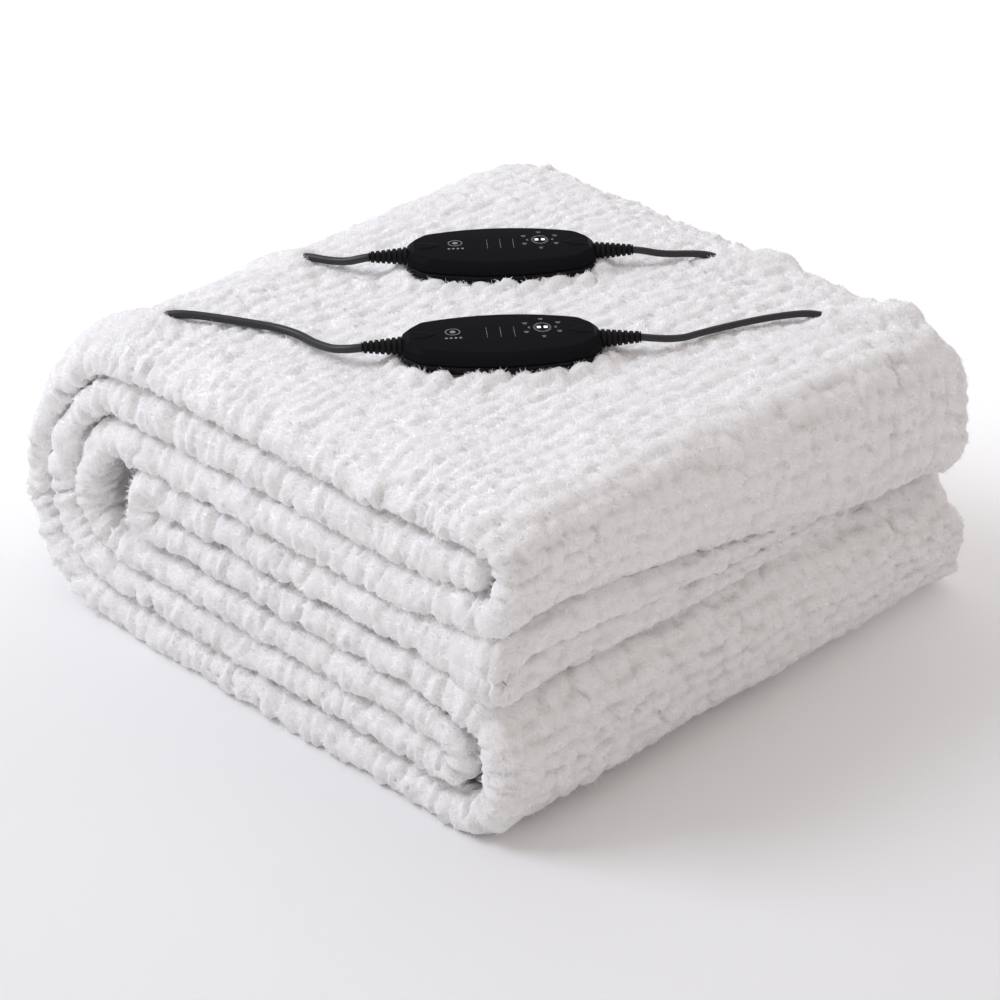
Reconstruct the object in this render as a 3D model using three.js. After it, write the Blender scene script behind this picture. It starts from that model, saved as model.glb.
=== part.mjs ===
// Heated mattress cover: one thick fleece band folded into a square stack of eight layers,
// with two hand controls lying on it, each with a mains lead and a heater lead.
// Millimetres. X runs along the near face, Y along the folds to the far face, Z up.
// Origin: the middle of the stack's footprint, on the surface that it stands on.

import * as THREE from 'three';

// Driving sizes of the folded stack
const HEIGHT = 199;
const LENGTH = 414; // along the folds, from the near face to the far face
const END_ROUND = 10; // the band's edges are rounded over this depth
const CLEAR = 0.3; // between pieces that touch
const CENTRE = { x: 2.3, y: -2 }; // of the footprint, in the frame that the tables are in
const LEFT = -1;
const RIGHT = 1;

// The layers from the top down: height of the middle and thickness
const LAYERS = {
  a: { middle: 188, thick: 20 },
  b: { middle: 162, thick: 27 },
  c: { middle: 134, thick: 25 },
  d: { middle: 109, thick: 22 },
  e: { middle: 85.2, thick: 22 },
  f: { middle: 61, thick: 22 },
  g: { middle: 36.5, thick: 22 },
  h: { middle: 11.2, thick: 22.4 },
};

// The bends in the band's order: it starts at a free end in layer d and stops in layer b.
// reach is where the middle of the band turns back, thick is its thickness there.
const FREE_END_D = 208;
const FREE_END_B = 190;
const BENDS = [
  { from: 'd', to: 'e', side: LEFT, reach: -98, thick: 21, steps: 8 },
  { from: 'e', to: 'h', side: RIGHT, reach: 209, thick: 25, steps: 12 },
  { from: 'h', to: 'a', side: LEFT, reach: -204.3, thick: 22, steps: 16 },
  { from: 'a', to: 'c', side: RIGHT, reach: 206, thick: 18, steps: 10 },
  { from: 'c', to: 'f', side: LEFT, reach: -153, thick: 23, steps: 10 },
  { from: 'f', to: 'g', side: RIGHT, reach: 179, thick: 21.5, steps: 8 },
  { from: 'g', to: 'b', side: LEFT, reach: -181, thick: 23, steps: 14 },
];
const STRAIGHT_STEP = 42; // between two sections of a straight layer
const STATIONS = 9; // along Y, between the rounded edges

// How the stack has settled
const CREASE = {
  even: [0, 97.5, 121.5, HEIGHT],
  falling: [0, 77, 100, HEIGHT], // where the right-hand creases sink to, at the far end
  open: [0, 87.5, 133.5, HEIGHT], // how layer d's free end stands open at the near end
};
const SLUMP = 5; // of the top at the far right corner
const DRAWN = { depth: 45, width: 0.014, height: 0.05 }; // the ends are a little smaller
const LEAN = { near: 16, far: 20, both: 2.4 }; // the faces step back toward the top
const LEFT_BEND = { centre: 100, shearNear: 0.15, shearFar: 0.03, swell: 6 };
const TIERS = { low: 1.5, high: 12, split: [100, 125] }; // growth to the far end, in X
const WAVE = { height: 1.3, x: 61, y: 53 };

// Hand controls: centre, turn from +X, height of the underside, then the body's own sizes
const CONTROLS = [
  { name: 'front', x: 60, y: -50.6, turn: 49.8 },
  { name: 'back', x: -27.7, y: 37.1, turn: 48.8 },
];
const SEAT = 199.5;
const BODY = { length: 117, width: 58, shoulder: 41, tip: 20, chamfer: 8.5, thick: 15, seam: 6 };
const AXIS_HEIGHT = 8.3; // of the leads, over the underside of a control
const RELIEF = { length: 22, root: 5.6, tip: 3.3, ribs: 5, groove: 0.9, sides: 12 };

// Leads: the way that each one takes, from the tip of its relief
const MAINS = { radius: 2.6, sides: 8, step: 13 };
const HEATER = { radius: 2.2, sides: 8, step: 12 };
const MAINS_WAYS = {
  front: [
    [7.2, -113.1, 207.7], [3.6, -116.6, 207], [-2.6, -119.7, 205.6], [-10.6, -121.4, 204],
    [-25, -121.4, 202.4], [-41, -120, 201.8], [-57, -123, 201.8], [-72.5, -130.5, 202.2],
    [-87, -138, 202.5], [-101, -145.6, 202.6], [-111, -152.4, 202.6], [-121, -159, 202.3],
    [-134, -166, 200.8], [-148, -170, 196.4], [-163.5, -172, 187.5], [-179, -172.5, 174.8],
    [-193, -172.5, 159.6], [-205.2, -172.5, 142], [-214, -172.5, 122], [-219, -172.5, 101],
    [-221, -172.5, 82], [-221.8, -172.5, 60], [-222, -172, 40], [-222.2, -170.4, 27],
    [-222.4, -167.8, 17.8], [-222.8, -162.4, 9.9], [-223.6, -154.4, 4.7], [-224.8, -145, 2.9],
    [-228, -126, 2.9], [-232.8, -107, 2.9], [-237.4, -88, 2.9], [-240.4, -68, 2.9],
    [-240.9, -47, 2.9],
  ],
  back: [
    [-81.6, -24.5, 207.7], [-85.8, -28, 206.4], [-92.6, -31.6, 203.8], [-101, -34, 201.8],
    [-110.4, -37.6, 201.1], [-121, -40.5, 200.9], [-132.5, -42, 199.8], [-148.9, -43.5, 194.4],
    [-165, -45, 185.2], [-181, -46, 172.4], [-195.7, -46.6, 157.2], [-207.6, -47, 139.6],
    [-215.9, -47, 120], [-220.4, -47, 100], [-221.8, -47, 82], [-222.6, -47, 60],
    [-222.8, -46.6, 40], [-222.9, -45, 27], [-223, -42.4, 17.8], [-223.2, -37, 9.9],
    [-223.4, -29, 4.7], [-223.7, -19.6, 2.9], [-224.4, 0, 2.9], [-225.2, 22, 2.9],
    [-226.4, 44, 2.9], [-228.8, 66, 2.9], [-231.4, 86, 2.9], [-232.8, 101, 2.9],
    [-232.9, 120, 2.9],
  ],
};
const HEATER_WAYS = {
  front: [
    [112.8, 12, 207.7], [117.2, 17.6, 206.6], [121.6, 27.6, 204.2], [124, 39, 202],
    [125.6, 52, 201], [129.6, 69, 200.4], [134.5, 86.5, 199.8], [140, 102, 199.2],
    [147.4, 116.4, 198.8], [154, 124.4, 198.3], [161, 131.6, 197.8], [168, 140.6, 197.4],
    [172.6, 150, 197], [175, 158.6, 196], [176.4, 167.6, 194], [177.2, 176.6, 191.2],
    [177.6, 183, 187.6], [177.8, 187.2, 181.8], [177.9, 189.9, 173], [177.9, 192.6, 160],
    [177.8, 195, 146], [177.5, 197.2, 131], [176.8, 199.2, 116], [175.8, 201.2, 101],
    [174.6, 202.6, 88], [171.6, 203.8, 74.6], [166, 203.6, 64.4], [157.6, 202, 57],
    [147, 200.6, 54.9], [133, 200.1, 55.5], [116, 200, 56.5], [98, 200, 57.7],
  ],
  back: [
    [26.2, 98.7, 207.7], [30.4, 104.2, 206.6], [35, 112, 204], [38.8, 120.6, 201.8],
    [43, 129, 200.6], [50, 137, 200], [58.4, 144, 199.6], [67, 152, 199],
    [73, 160.6, 197.6], [76.4, 169.4, 195.4], [78, 177.6, 192.4], [78.8, 183.6, 188.6],
    [79.2, 187.6, 182.6], [79.4, 190.2, 173.6], [79.4, 192.8, 160], [79.4, 195, 146],
    [79.3, 197.2, 130], [79, 199.2, 114], [78, 201, 98], [74.6, 202.8, 84],
    [68.6, 203.6, 72.6], [60, 202.2, 64.2], [50, 200.7, 61.6], [36, 200.1, 62.2],
    [18, 200, 63.5], [0, 200, 64.8],
  ],
};
const COIL = { inner: 23.2, outer: 39.2, height: 10.8, sides: 28 };
const COIL_MIDDLES = { front: [-283, -45], back: [-275, 122] };
// From the coil to the plug, measured from the coil's middle
const END_WAY = [
  [41.5, 7.5, 8], [41.1, 17, 5.2], [39, 27, 3.2], [34.5, 37, 3.4], [28.5, 45, 5.2],
  [23.2, 52, 7.6], [20, 59.5, 9.2], [19, 67, 9.5],
];
const PLUG = { width: 50, length: 46, thick: 22, corner: 9, nose: 22, shoulder: 13 };
const PLUG_PLACE = [19, 67.6]; // the nose, measured from the coil's middle
const PINS = {
  live: { x: 11.1, y: 12, wide: 6.4, deep: 4, long: 17.7 },
  neutral: { x: -11.1, y: 12, wide: 6.4, deep: 4, long: 17.7 },
  earth: { x: 0, y: 34.2, wide: 4, deep: 8, long: 22.7 },
};

const COLOURS = { fleece: 0xf1eff1, case: 0x1a191d, rubber: 0x1c1b1e, lead: 0x2b2a2c, brass: 0xc9b27a };

function smooth(from, to, value) {
  const t = THREE.MathUtils.clamp((value - from) / (to - from), 0, 1);
  return t * t * (3 - 2 * t);
}

function along(table, goal, value) {
  let k = 0;
  while (k < table.length - 2 && value > table[k + 1]) k += 1;
  const share = (value - table[k]) / (table[k + 1] - table[k]);
  return goal[k] + share * (goal[k + 1] - goal[k]);
}

// Moves a point of the even fold to where it lies in the settled stack
function settle(x, y, z) {
  const way = (y + LENGTH / 2) / LENGTH;
  const high = z / HEIGHT;
  const fall = smooth(-120, 200, x) * smooth(0.05, 0.95, way);
  const left = smooth(-100, -200, x);
  const right = smooth(120, 200, x);
  const upper = smooth(TIERS.split[0], TIERS.split[1], z);
  const back = smooth(0, 1, way);
  const shear = LEFT_BEND.shearNear + (LEFT_BEND.shearFar - LEFT_BEND.shearNear) * back;
  let toX = x + left * shear * (z - LEFT_BEND.centre);
  toX -= left * LEFT_BEND.swell * back * Math.sin(Math.PI * THREE.MathUtils.clamp(high, 0, 1));
  toX += right * way * (TIERS.low + (TIERS.high - TIERS.low) * upper);
  const open = smooth(120, 200, x) * (1 - smooth(0.1, 0.75, way));
  let toZ = z + fall * (along(CREASE.even, CREASE.falling, z) - z);
  toZ += open * (along(CREASE.even, CREASE.open, z) - z);
  toZ -= SLUMP * high * smooth(60, 220, x) * smooth(0.4, 1, way);
  const inside = Math.min(y + LENGTH / 2, LENGTH / 2 - y) / DRAWN.depth;
  const drawn = inside < 1 ? (1 - inside) ** 2 : 0;
  toX *= 1 - DRAWN.width * drawn;
  toZ *= 1 - DRAWN.height * drawn;
  toZ += WAVE.height * high * Math.sin(x / WAVE.x + 0.4) * Math.sin(y / WAVE.y + 1.1);
  const nearLean = LEAN.near * high * (1 - smooth(0, 0.3, way));
  const farLean = LEAN.far * high * high * smooth(0.7, 1, way);
  return new THREE.Vector3(toX, y + nearLean - farLean - LEAN.both, toZ);
}

// The middle line of the band in the section: each bend is half an ellipse as high as the two
// layers that it joins are apart, and the layers between are straight
function bandPath() {
  const path = [];
  const straightTo = (x, z, thick) => {
    const last = path[path.length - 1];
    const count = Math.max(1, Math.round(Math.abs(x - last.x) / STRAIGHT_STEP));
    for (let i = 1; i <= count; i += 1) {
      const t = i / count;
      path.push({
        x: last.x + (x - last.x) * t,
        z: last.z + (z - last.z) * t,
        thick: last.thick + (thick - last.thick) * t,
      });
    }
  };
  const d = LAYERS.d;
  path.push({ x: FREE_END_D, z: d.middle, thick: d.thick * 0.5 });
  path.push({ x: FREE_END_D - 3, z: d.middle, thick: d.thick * 0.85 });
  path.push({ x: FREE_END_D - 9, z: d.middle, thick: d.thick });
  for (const bend of BENDS) {
    const from = LAYERS[bend.from];
    const to = LAYERS[bend.to];
    const half = Math.abs(to.middle - from.middle) / 2;
    const start = bend.reach - bend.side * half;
    straightTo(start, from.middle, from.thick);
    for (let i = 1; i <= bend.steps; i += 1) {
      const angle = Math.PI * (i / bend.steps);
      const full = Math.sin(angle);
      const ends = from.thick + (to.thick - from.thick) * (i / bend.steps);
      path.push({
        x: start + bend.side * half * full,
        z: (from.middle + to.middle) / 2 - ((to.middle - from.middle) / 2) * Math.cos(angle),
        thick: ends + (bend.thick - ends) * full,
      });
    }
  }
  const b = LAYERS.b;
  straightTo(FREE_END_B - 9, b.middle, b.thick);
  path.push({ x: FREE_END_B - 3, z: b.middle, thick: b.thick * 0.85 });
  path.push({ x: FREE_END_B, z: b.middle, thick: b.thick * 0.5 });
  return path;
}

// Places along Y on one side of the band, and how much of the half thickness it has there
function crossPlaces() {
  const ends = [0, 1, 3.5, 8];
  const share = (depth) => Math.sqrt(Math.max(0, 1 - (1 - depth / END_ROUND) ** 2));
  const places = ends.map((depth) => ({ y: depth - LENGTH / 2, share: share(depth) }));
  const first = 2.6 * END_ROUND;
  for (let i = 0; i < STATIONS; i += 1) {
    places.push({ y: first - LENGTH / 2 + ((LENGTH - 2 * first) * i) / (STATIONS - 1), share: 1 });
  }
  for (const depth of [...ends].reverse()) {
    places.push({ y: LENGTH / 2 - depth, share: share(depth) });
  }
  return places;
}

// A closed mesh from rings of equally many points, with a strip cap over each end ring.
// A ring runs along one side and back along the other, and shares its two apex points.
function ringMesh(rings, sideCount) {
  const around = rings[0].length;
  const index = [];
  for (let r = 0; r < rings.length - 1; r += 1) {
    for (let k = 0; k < around; k += 1) {
      const next = (k + 1) % around;
      const a = r * around + k;
      const b = r * around + next;
      const c = (r + 1) * around + next;
      const d = (r + 1) * around + k;
      index.push(a, d, b, b, d, c);
    }
  }
  const last = (rings.length - 1) * around;
  for (let k = 0; k < sideCount - 1; k += 1) {
    const mirror = (around - k) % around;
    const mirrorNext = around - k - 1;
    const corners = [k, k + 1, mirrorNext, mirror];
    index.push(corners[0], corners[1], corners[2]);
    index.push(last + corners[0], last + corners[2], last + corners[1]);
    if (k > 0 && mirror !== corners[0]) {
      index.push(corners[0], corners[2], corners[3]);
      index.push(last + corners[0], last + corners[3], last + corners[2]);
    }
  }
  const geometry = new THREE.BufferGeometry();
  const flat = rings.flat().flatMap((p) => [p.x, p.y, p.z]);
  geometry.setAttribute('position', new THREE.Float32BufferAttribute(flat, 3));
  geometry.setIndex(index.filter((v, i) => !isFlatTriangle(index, i)));
  return geometry;
}

function isFlatTriangle(index, i) {
  const start = i - (i % 3);
  const [a, b, c] = index.slice(start, start + 3);
  return a === b || b === c || c === a;
}

function coverGeometry() {
  const path = bandPath();
  const places = crossPlaces();
  const rings = path.map((point, i) => {
    const before = path[Math.max(0, i - 1)];
    const after = path[Math.min(path.length - 1, i + 1)];
    const run = new THREE.Vector2(after.x - before.x, after.z - before.z).normalize();
    const side = (place, sign) => {
      const off = (sign * place.share * point.thick) / 2;
      return settle(point.x - run.y * off, place.y, point.z + run.x * off);
    };
    const outer = places.map((place) => side(place, 1));
    const inner = places.slice(1, -1).map((place) => side(place, -1));
    return [...outer, ...inner.reverse()];
  });
  return ringMesh(rings, places.length);
}

// Outline of a control seen from above: a long body with arched sides and chamfered ends
function controlOutline(inset) {
  const end = BODY.length / 2 - inset;
  const side = BODY.shoulder / 2 - inset;
  const tip = BODY.tip / 2 - inset * 0.5;
  const start = BODY.length / 2 - BODY.chamfer - inset * 0.4;
  const arch = BODY.width - BODY.shoulder / 2 - inset;
  const shape = new THREE.Shape();
  shape.moveTo(end, tip);
  shape.lineTo(start, side);
  shape.quadraticCurveTo(0, arch, -start, side);
  shape.lineTo(-end, tip);
  shape.lineTo(-end, -tip);
  shape.lineTo(-start, -side);
  shape.quadraticCurveTo(0, -arch, start, -side);
  shape.lineTo(end, -tip);
  return shape.getPoints(8);
}

// A solid through a stack of outlines, each with its height and inset, with fan caps
function stackedShell(outline, middle, levels) {
  const rings = levels.map((level) =>
    outline(level.inset).map((p) => new THREE.Vector3(p.x, p.y, level.z)),
  );
  const around = rings[0].length;
  const points = rings.flat();
  const low = points.length;
  points.push(new THREE.Vector3(0, middle, levels[0].z));
  points.push(new THREE.Vector3(0, middle, levels[levels.length - 1].z));
  const index = [];
  const last = (rings.length - 1) * around;
  for (let k = 0; k < around; k += 1) {
    const next = (k + 1) % around;
    for (let r = 0; r < rings.length - 1; r += 1) {
      const a = r * around;
      const b = (r + 1) * around;
      index.push(a + k, a + next, b + next, a + k, b + next, b + k);
    }
    index.push(low, next, k, low + 1, last + k, last + next);
  }
  const geometry = new THREE.BufferGeometry();
  geometry.setAttribute(
    'position',
    new THREE.Float32BufferAttribute(points.flatMap((p) => [p.x, p.y, p.z]), 3),
  );
  geometry.setIndex(index);
  return geometry;
}

// A tapered grip with ribs, its root at the origin and its tip along +X
function reliefGeometry() {
  const profile = [new THREE.Vector2(0, 0), new THREE.Vector2(RELIEF.root, 0)];
  const pitch = RELIEF.length / RELIEF.ribs;
  for (let i = 0; i < RELIEF.ribs; i += 1) {
    const radius = (share) => RELIEF.root + (RELIEF.tip - RELIEF.root) * ((i + share) / RELIEF.ribs);
    profile.push(new THREE.Vector2(radius(0.55), pitch * (i + 0.55)));
    if (i < RELIEF.ribs - 1) {
      profile.push(new THREE.Vector2(radius(0.75) - RELIEF.groove, pitch * (i + 0.75)));
    }
  }
  profile.push(new THREE.Vector2(RELIEF.tip, RELIEF.length), new THREE.Vector2(0, RELIEF.length));
  const geometry = new THREE.LatheGeometry(profile, RELIEF.sides);
  geometry.rotateZ(-Math.PI / 2);
  return geometry;
}

function material(colour, roughness, metalness = 0) {
  return new THREE.MeshStandardMaterial({ color: colour, roughness, metalness });
}

function piece(name, geometry, surface) {
  const mesh = new THREE.Mesh(geometry, surface);
  mesh.name = name;
  return mesh;
}

function handControl(control) {
  const set = new THREE.Group();
  const { thick, seam } = BODY;
  const base = stackedShell(controlOutline, 0, [
    { z: 0, inset: 2.5 },
    { z: 1.6, inset: 0.7 },
    { z: seam - 0.6, inset: 0 },
    { z: seam, inset: 0.5 },
  ]);
  const top = stackedShell(controlOutline, 0, [
    { z: seam + CLEAR, inset: 0.5 },
    { z: seam + CLEAR + 0.6, inset: 0 },
    { z: thick - 3.4, inset: 0.6 },
    { z: thick - 1.2, inset: 2.4 },
    { z: thick, inset: 5.5 },
  ]);
  set.add(piece(`control_base_${control.name}`, base, material(COLOURS.case, 0.45)));
  set.add(piece(`control_top_${control.name}`, top, material(COLOURS.case, 0.32)));
  for (const end of [{ name: 'mains', side: LEFT }, { name: 'heater', side: RIGHT }]) {
    const relief = piece(`relief_${end.name}_${control.name}`, reliefGeometry(), material(COLOURS.rubber, 0.6));
    relief.position.set(end.side * (BODY.length / 2 + CLEAR), 0, AXIS_HEIGHT);
    relief.rotation.z = end.side === LEFT ? Math.PI : 0;
    set.add(relief);
  }
  set.position.set(control.x, control.y, SEAT);
  set.rotation.z = THREE.MathUtils.degToRad(control.turn);
  return set;
}

// A round lead through the given points
function leadGeometry(way, kind) {
  const curve = new THREE.CatmullRomCurve3(way.map((p) => new THREE.Vector3(...p)));
  const circle = new THREE.Shape();
  for (let i = 0; i < kind.sides; i += 1) {
    const angle = (2 * Math.PI * i) / kind.sides;
    const x = kind.radius * Math.cos(angle);
    const y = kind.radius * Math.sin(angle);
    if (i === 0) circle.moveTo(x, y);
    else circle.lineTo(x, y);
  }
  const steps = Math.ceil(curve.getLength() / kind.step);
  return new THREE.ExtrudeGeometry(circle, { steps, extrudePath: curve, curveSegments: 1 });
}

// The turns of a coil as one ring, lying on the surface
function coilGeometry() {
  const { inner, outer, height } = COIL;
  const bevel = 2;
  const corners = [
    [inner + bevel, CLEAR], [outer - bevel, CLEAR], [outer, CLEAR + bevel], [outer, height - bevel],
    [outer - bevel, height], [inner + bevel, height], [inner, height - bevel], [inner, CLEAR + bevel],
    [inner + bevel, CLEAR],
  ];
  const geometry = new THREE.LatheGeometry(corners.map((c) => new THREE.Vector2(...c)), COIL.sides);
  geometry.rotateX(Math.PI / 2);
  return geometry;
}

// Outline of a plug seen from above, its nose at the origin and its body toward +Y
function plugOutline(inset) {
  const half = PLUG.width / 2 - inset;
  const nose = PLUG.nose / 2 - inset;
  const low = inset;
  const high = PLUG.length - inset;
  const edge = PLUG.width / 2 - PLUG.corner - inset * 0.4;
  const corner = PLUG.length - PLUG.corner - inset * 0.4;
  return [
    new THREE.Vector2(-nose, low),
    new THREE.Vector2(nose, low),
    new THREE.Vector2(half, PLUG.shoulder),
    new THREE.Vector2(half, corner),
    new THREE.Vector2(edge, high),
    new THREE.Vector2(-edge, high),
    new THREE.Vector2(-half, corner),
    new THREE.Vector2(-half, PLUG.shoulder),
  ];
}

function mainsEnd(name) {
  const set = new THREE.Group();
  const rubber = () => material(COLOURS.lead, 0.6);
  set.add(piece(`mains_coil_${name}`, coilGeometry(), rubber()));
  set.add(piece(`mains_end_${name}`, leadGeometry(END_WAY, MAINS), rubber()));
  const body = stackedShell(plugOutline, PLUG.length / 2, [
    { z: CLEAR, inset: 2 },
    { z: 2, inset: 0 },
    { z: PLUG.thick - 2, inset: 0 },
    { z: PLUG.thick, inset: 2 },
  ]);
  const plug = new THREE.Group();
  plug.add(piece(`plug_${name}`, body, material(COLOURS.case, 0.4)));
  for (const [pin, size] of Object.entries(PINS)) {
    const box = new THREE.BoxGeometry(size.wide, size.deep, size.long);
    box.translate(size.x, size.y, PLUG.thick + CLEAR + size.long / 2);
    plug.add(piece(`pin_${pin}_${name}`, box, material(COLOURS.brass, 0.3, 1)));
  }
  plug.position.set(PLUG_PLACE[0], PLUG_PLACE[1], 0);
  set.add(plug);
  set.position.set(COIL_MIDDLES[name][0], COIL_MIDDLES[name][1], 0);
  return set;
}

const group = new THREE.Group();
group.position.set(-CENTRE.x, -CENTRE.y, 0);
group.add(piece('cover', coverGeometry(), material(COLOURS.fleece, 0.95)));
for (const control of CONTROLS) {
  const { name } = control;
  group.add(handControl(control));
  group.add(piece(`mains_lead_${name}`, leadGeometry(MAINS_WAYS[name], MAINS), material(COLOURS.lead, 0.6)));
  group.add(piece(`heater_lead_${name}`, leadGeometry(HEATER_WAYS[name], HEATER), material(COLOURS.lead, 0.6)));
  group.add(mainsEnd(name));
}

export default group;
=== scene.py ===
import bpy
import numpy as np
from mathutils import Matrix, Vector


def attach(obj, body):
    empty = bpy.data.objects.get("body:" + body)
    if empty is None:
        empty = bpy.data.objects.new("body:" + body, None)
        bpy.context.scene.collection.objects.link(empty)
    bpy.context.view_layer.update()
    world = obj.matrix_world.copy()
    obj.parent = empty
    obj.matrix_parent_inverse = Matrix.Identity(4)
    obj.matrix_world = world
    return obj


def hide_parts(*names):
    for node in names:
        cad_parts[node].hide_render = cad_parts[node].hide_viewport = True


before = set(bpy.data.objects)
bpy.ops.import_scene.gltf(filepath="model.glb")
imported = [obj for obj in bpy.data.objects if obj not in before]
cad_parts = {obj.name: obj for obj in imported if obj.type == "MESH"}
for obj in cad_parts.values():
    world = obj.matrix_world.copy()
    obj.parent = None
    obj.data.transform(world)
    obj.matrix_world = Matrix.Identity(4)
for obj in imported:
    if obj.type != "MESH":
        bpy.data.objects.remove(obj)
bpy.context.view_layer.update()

scene = bpy.context.scene
chance = np.random.default_rng(68)

# The tables of places below are in the frame that the fold was measured in. Its origin is
# moved to the middle of the footprint.
centre = np.array([0.0023, -0.0020, 0.0])


def addObject(name, data):
    item = bpy.data.objects.new(name, data)
    scene.collection.objects.link(item)
    return item


def lookAlong(item, way):
    # a camera or an area lamp looks down its own -Z
    item.rotation_euler = Vector(way).to_track_quat("-Z", "Y").to_euler()


# Camera
cameraSettings = {
    "place": (1.18724, -1.18347, 1.00070),
    "toward": (-0.6155, 0.6177, -0.4895),
    "lens": 109.8,
    "sensor": 36.0,
    "clip": (0.05, 30.0),
}
cameraData = bpy.data.cameras.new("photoCamera")
cameraData.lens = cameraSettings["lens"]
cameraData.sensor_width = cameraSettings["sensor"]
cameraData.clip_start, cameraData.clip_end = cameraSettings["clip"]
camera = addObject("photoCamera", cameraData)
camera.location = cameraSettings["place"]
lookAlong(camera, cameraSettings["toward"])
scene.camera = camera
scene.view_settings.view_transform = "Standard"


# Meshes and lines
def makeMesh(name, points, faces, smooth=True):
    # A face is a row of four corners. One that ends with the same corner twice is a triangle.
    flat = faces[:, 2] == faces[:, 3]
    quads, triangles = faces[~flat], faces[flat, :3]
    corners = np.concatenate([quads.ravel(), triangles.ravel()])
    starts = [np.arange(len(quads)) * 4, np.arange(len(triangles)) * 3 + quads.size]
    mesh = bpy.data.meshes.new(name)
    mesh.vertices.add(len(points))
    mesh.vertices.foreach_set("co", points.astype(np.float32).ravel())
    mesh.loops.add(len(corners))
    mesh.loops.foreach_set("vertex_index", corners.astype(np.int32))
    mesh.polygons.add(len(faces))
    mesh.polygons.foreach_set("loop_start", np.concatenate(starts).astype(np.int32))
    mesh.update(calc_edges=True)
    mesh.polygons.foreach_set("use_smooth", np.full(len(faces), smooth))
    return mesh


def addPiece(name, data, material):
    data.materials.append(material)
    piece = addObject(name, data)
    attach(piece, "root")
    return piece


def addAttribute(mesh, name, kind, values):
    layer = mesh.attributes.new(name, kind, "POINT")
    field = "vector" if kind == "FLOAT_VECTOR" else "value"
    layer.data.foreach_set(field, values.astype(np.float32).ravel())


def gridFaces(rows, columns, closed=False):
    # quads between neighbours of a grid of points; closed joins the last column to the first
    span = columns if closed else columns - 1
    row = np.arange(rows - 1)[:, None] * columns
    column = np.arange(span)[None, :]
    following = (column + 1) % columns
    quads = [row + column, row + columns + column, row + columns + following, row + following]
    return np.stack([q.ravel() for q in quads], axis=1)


def smoothStep(low, high, value):
    # 0 up to low, 1 from high on, and 3t^2 - 2t^3 between
    t = np.clip((value - low) / (high - low), 0.0, 1.0)
    return t * t * (3.0 - 2.0 * t)


def unit(vectors):
    return vectors / np.maximum(np.linalg.norm(vectors, axis=-1, keepdims=True), 1e-12)


def travelled(line):
    # distance along a line from its start to each of its points
    return np.concatenate([[0.0], np.cumsum(np.linalg.norm(np.diff(line, axis=0), axis=1))])


def lineLength(line):
    return float(travelled(line)[-1])


def evenPoints(line, count, closed=False):
    # points at even steps along the line; closed leaves out the last, which is the first again
    gone = travelled(line)
    places = np.linspace(0, gone[-1], count, endpoint=not closed)
    return np.stack([np.interp(places, gone, c) for c in line.T], axis=1)


def easedRing(line, times):
    # running mean of each point of a closed line with its two neighbours
    for _ in range(times):
        line = (np.roll(line, 1, axis=0) + line + np.roll(line, -1, axis=0)) / 3
    return line


def smoothLine(points, spacing):
    # Catmull-Rom curve through the points, then even steps along it
    p = np.asarray(points, dtype=float)
    ends = np.vstack([2 * p[0] - p[1], p, 2 * p[-1] - p[-2]])
    t = np.linspace(0, 1, 17)[:-1][:, None]
    a, b, c, d = ends[:-3, None], ends[1:-2, None], ends[2:-1, None], ends[3:, None]
    curve = 0.5 * (
        2 * b + (c - a) * t + (2 * a - 5 * b + 4 * c - d) * t**2 + (3 * b - 3 * c + d - a) * t**3
    )
    curve = np.vstack([curve.reshape(-1, 3), p[-1:]])
    return evenPoints(curve, int(round(lineLength(curve) / spacing)) + 1)


# Materials
def wire(material, node, inputs):
    # a plain value is set on its socket, and another node's output is linked to it
    for socket, value in inputs.items():
        if isinstance(value, bpy.types.NodeSocket):
            material.node_tree.links.new(value, node.inputs[socket])
        else:
            node.inputs[socket].default_value = value


def addNode(material, kind, inputs, **options):
    node = material.node_tree.nodes.new("ShaderNode" + kind)
    for option, value in options.items():
        setattr(node, option, value)
    wire(material, node, inputs)
    return node


def objectPlace(material):
    return addNode(material, "TexCoord", {}).outputs["Object"]


def addNoise(material, scale, detail=2.0, roughness=0.55):
    values = {"Scale": scale, "Detail": detail, "Roughness": roughness}
    noise = addNode(material, "TexNoise", {"Vector": objectPlace(material), **values})
    return noise.outputs["Fac"]


def addBump(material, shader, height, distance, strength, under=None):
    bump = addNode(material, "Bump", {
        "Height": height, "Distance": distance, "Strength": strength,
    })
    if under is not None:
        wire(material, bump, {"Normal": under.outputs["Normal"]})
    wire(material, shader, {"Normal": bump.outputs["Normal"]})
    return bump


def newMaterial(name, colour, inputs):
    material = bpy.data.materials.new(name)
    material.use_nodes = True
    shader = material.node_tree.nodes["Principled BSDF"]
    wire(material, shader, {"Base Color": (*colour, 1.0), **inputs})
    return material, shader


def cloudyMaterial(name, colour, roughness, scale, inputs, detail=2.0):
    # roughness drifts between its two values with a soft noise
    material, shader = newMaterial(name, colour, inputs)
    drift = addNode(material, "MapRange", {
        "Value": addNoise(material, scale, detail), "From Min": 0.3, "From Max": 0.7,
        "To Min": roughness[0], "To Max": roughness[1],
    })
    wire(material, shader, {"Roughness": drift.outputs["Result"]})
    return material, shader


fleeceLook = {
    "light": (0.93, 0.92, 0.93),
    # the pit colour is painted shade: the cloth is the same white in its pits
    "pitShade": (0.82, 0.80, 0.795),
    "curl": {"noise": (420.0, 4.0, 0.6), "bump": (0.0016, 0.5)},
    "fibre": {"noise": (1100.0, 5.0, 0.65), "bump": (0.0008, 0.45)},
}


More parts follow.
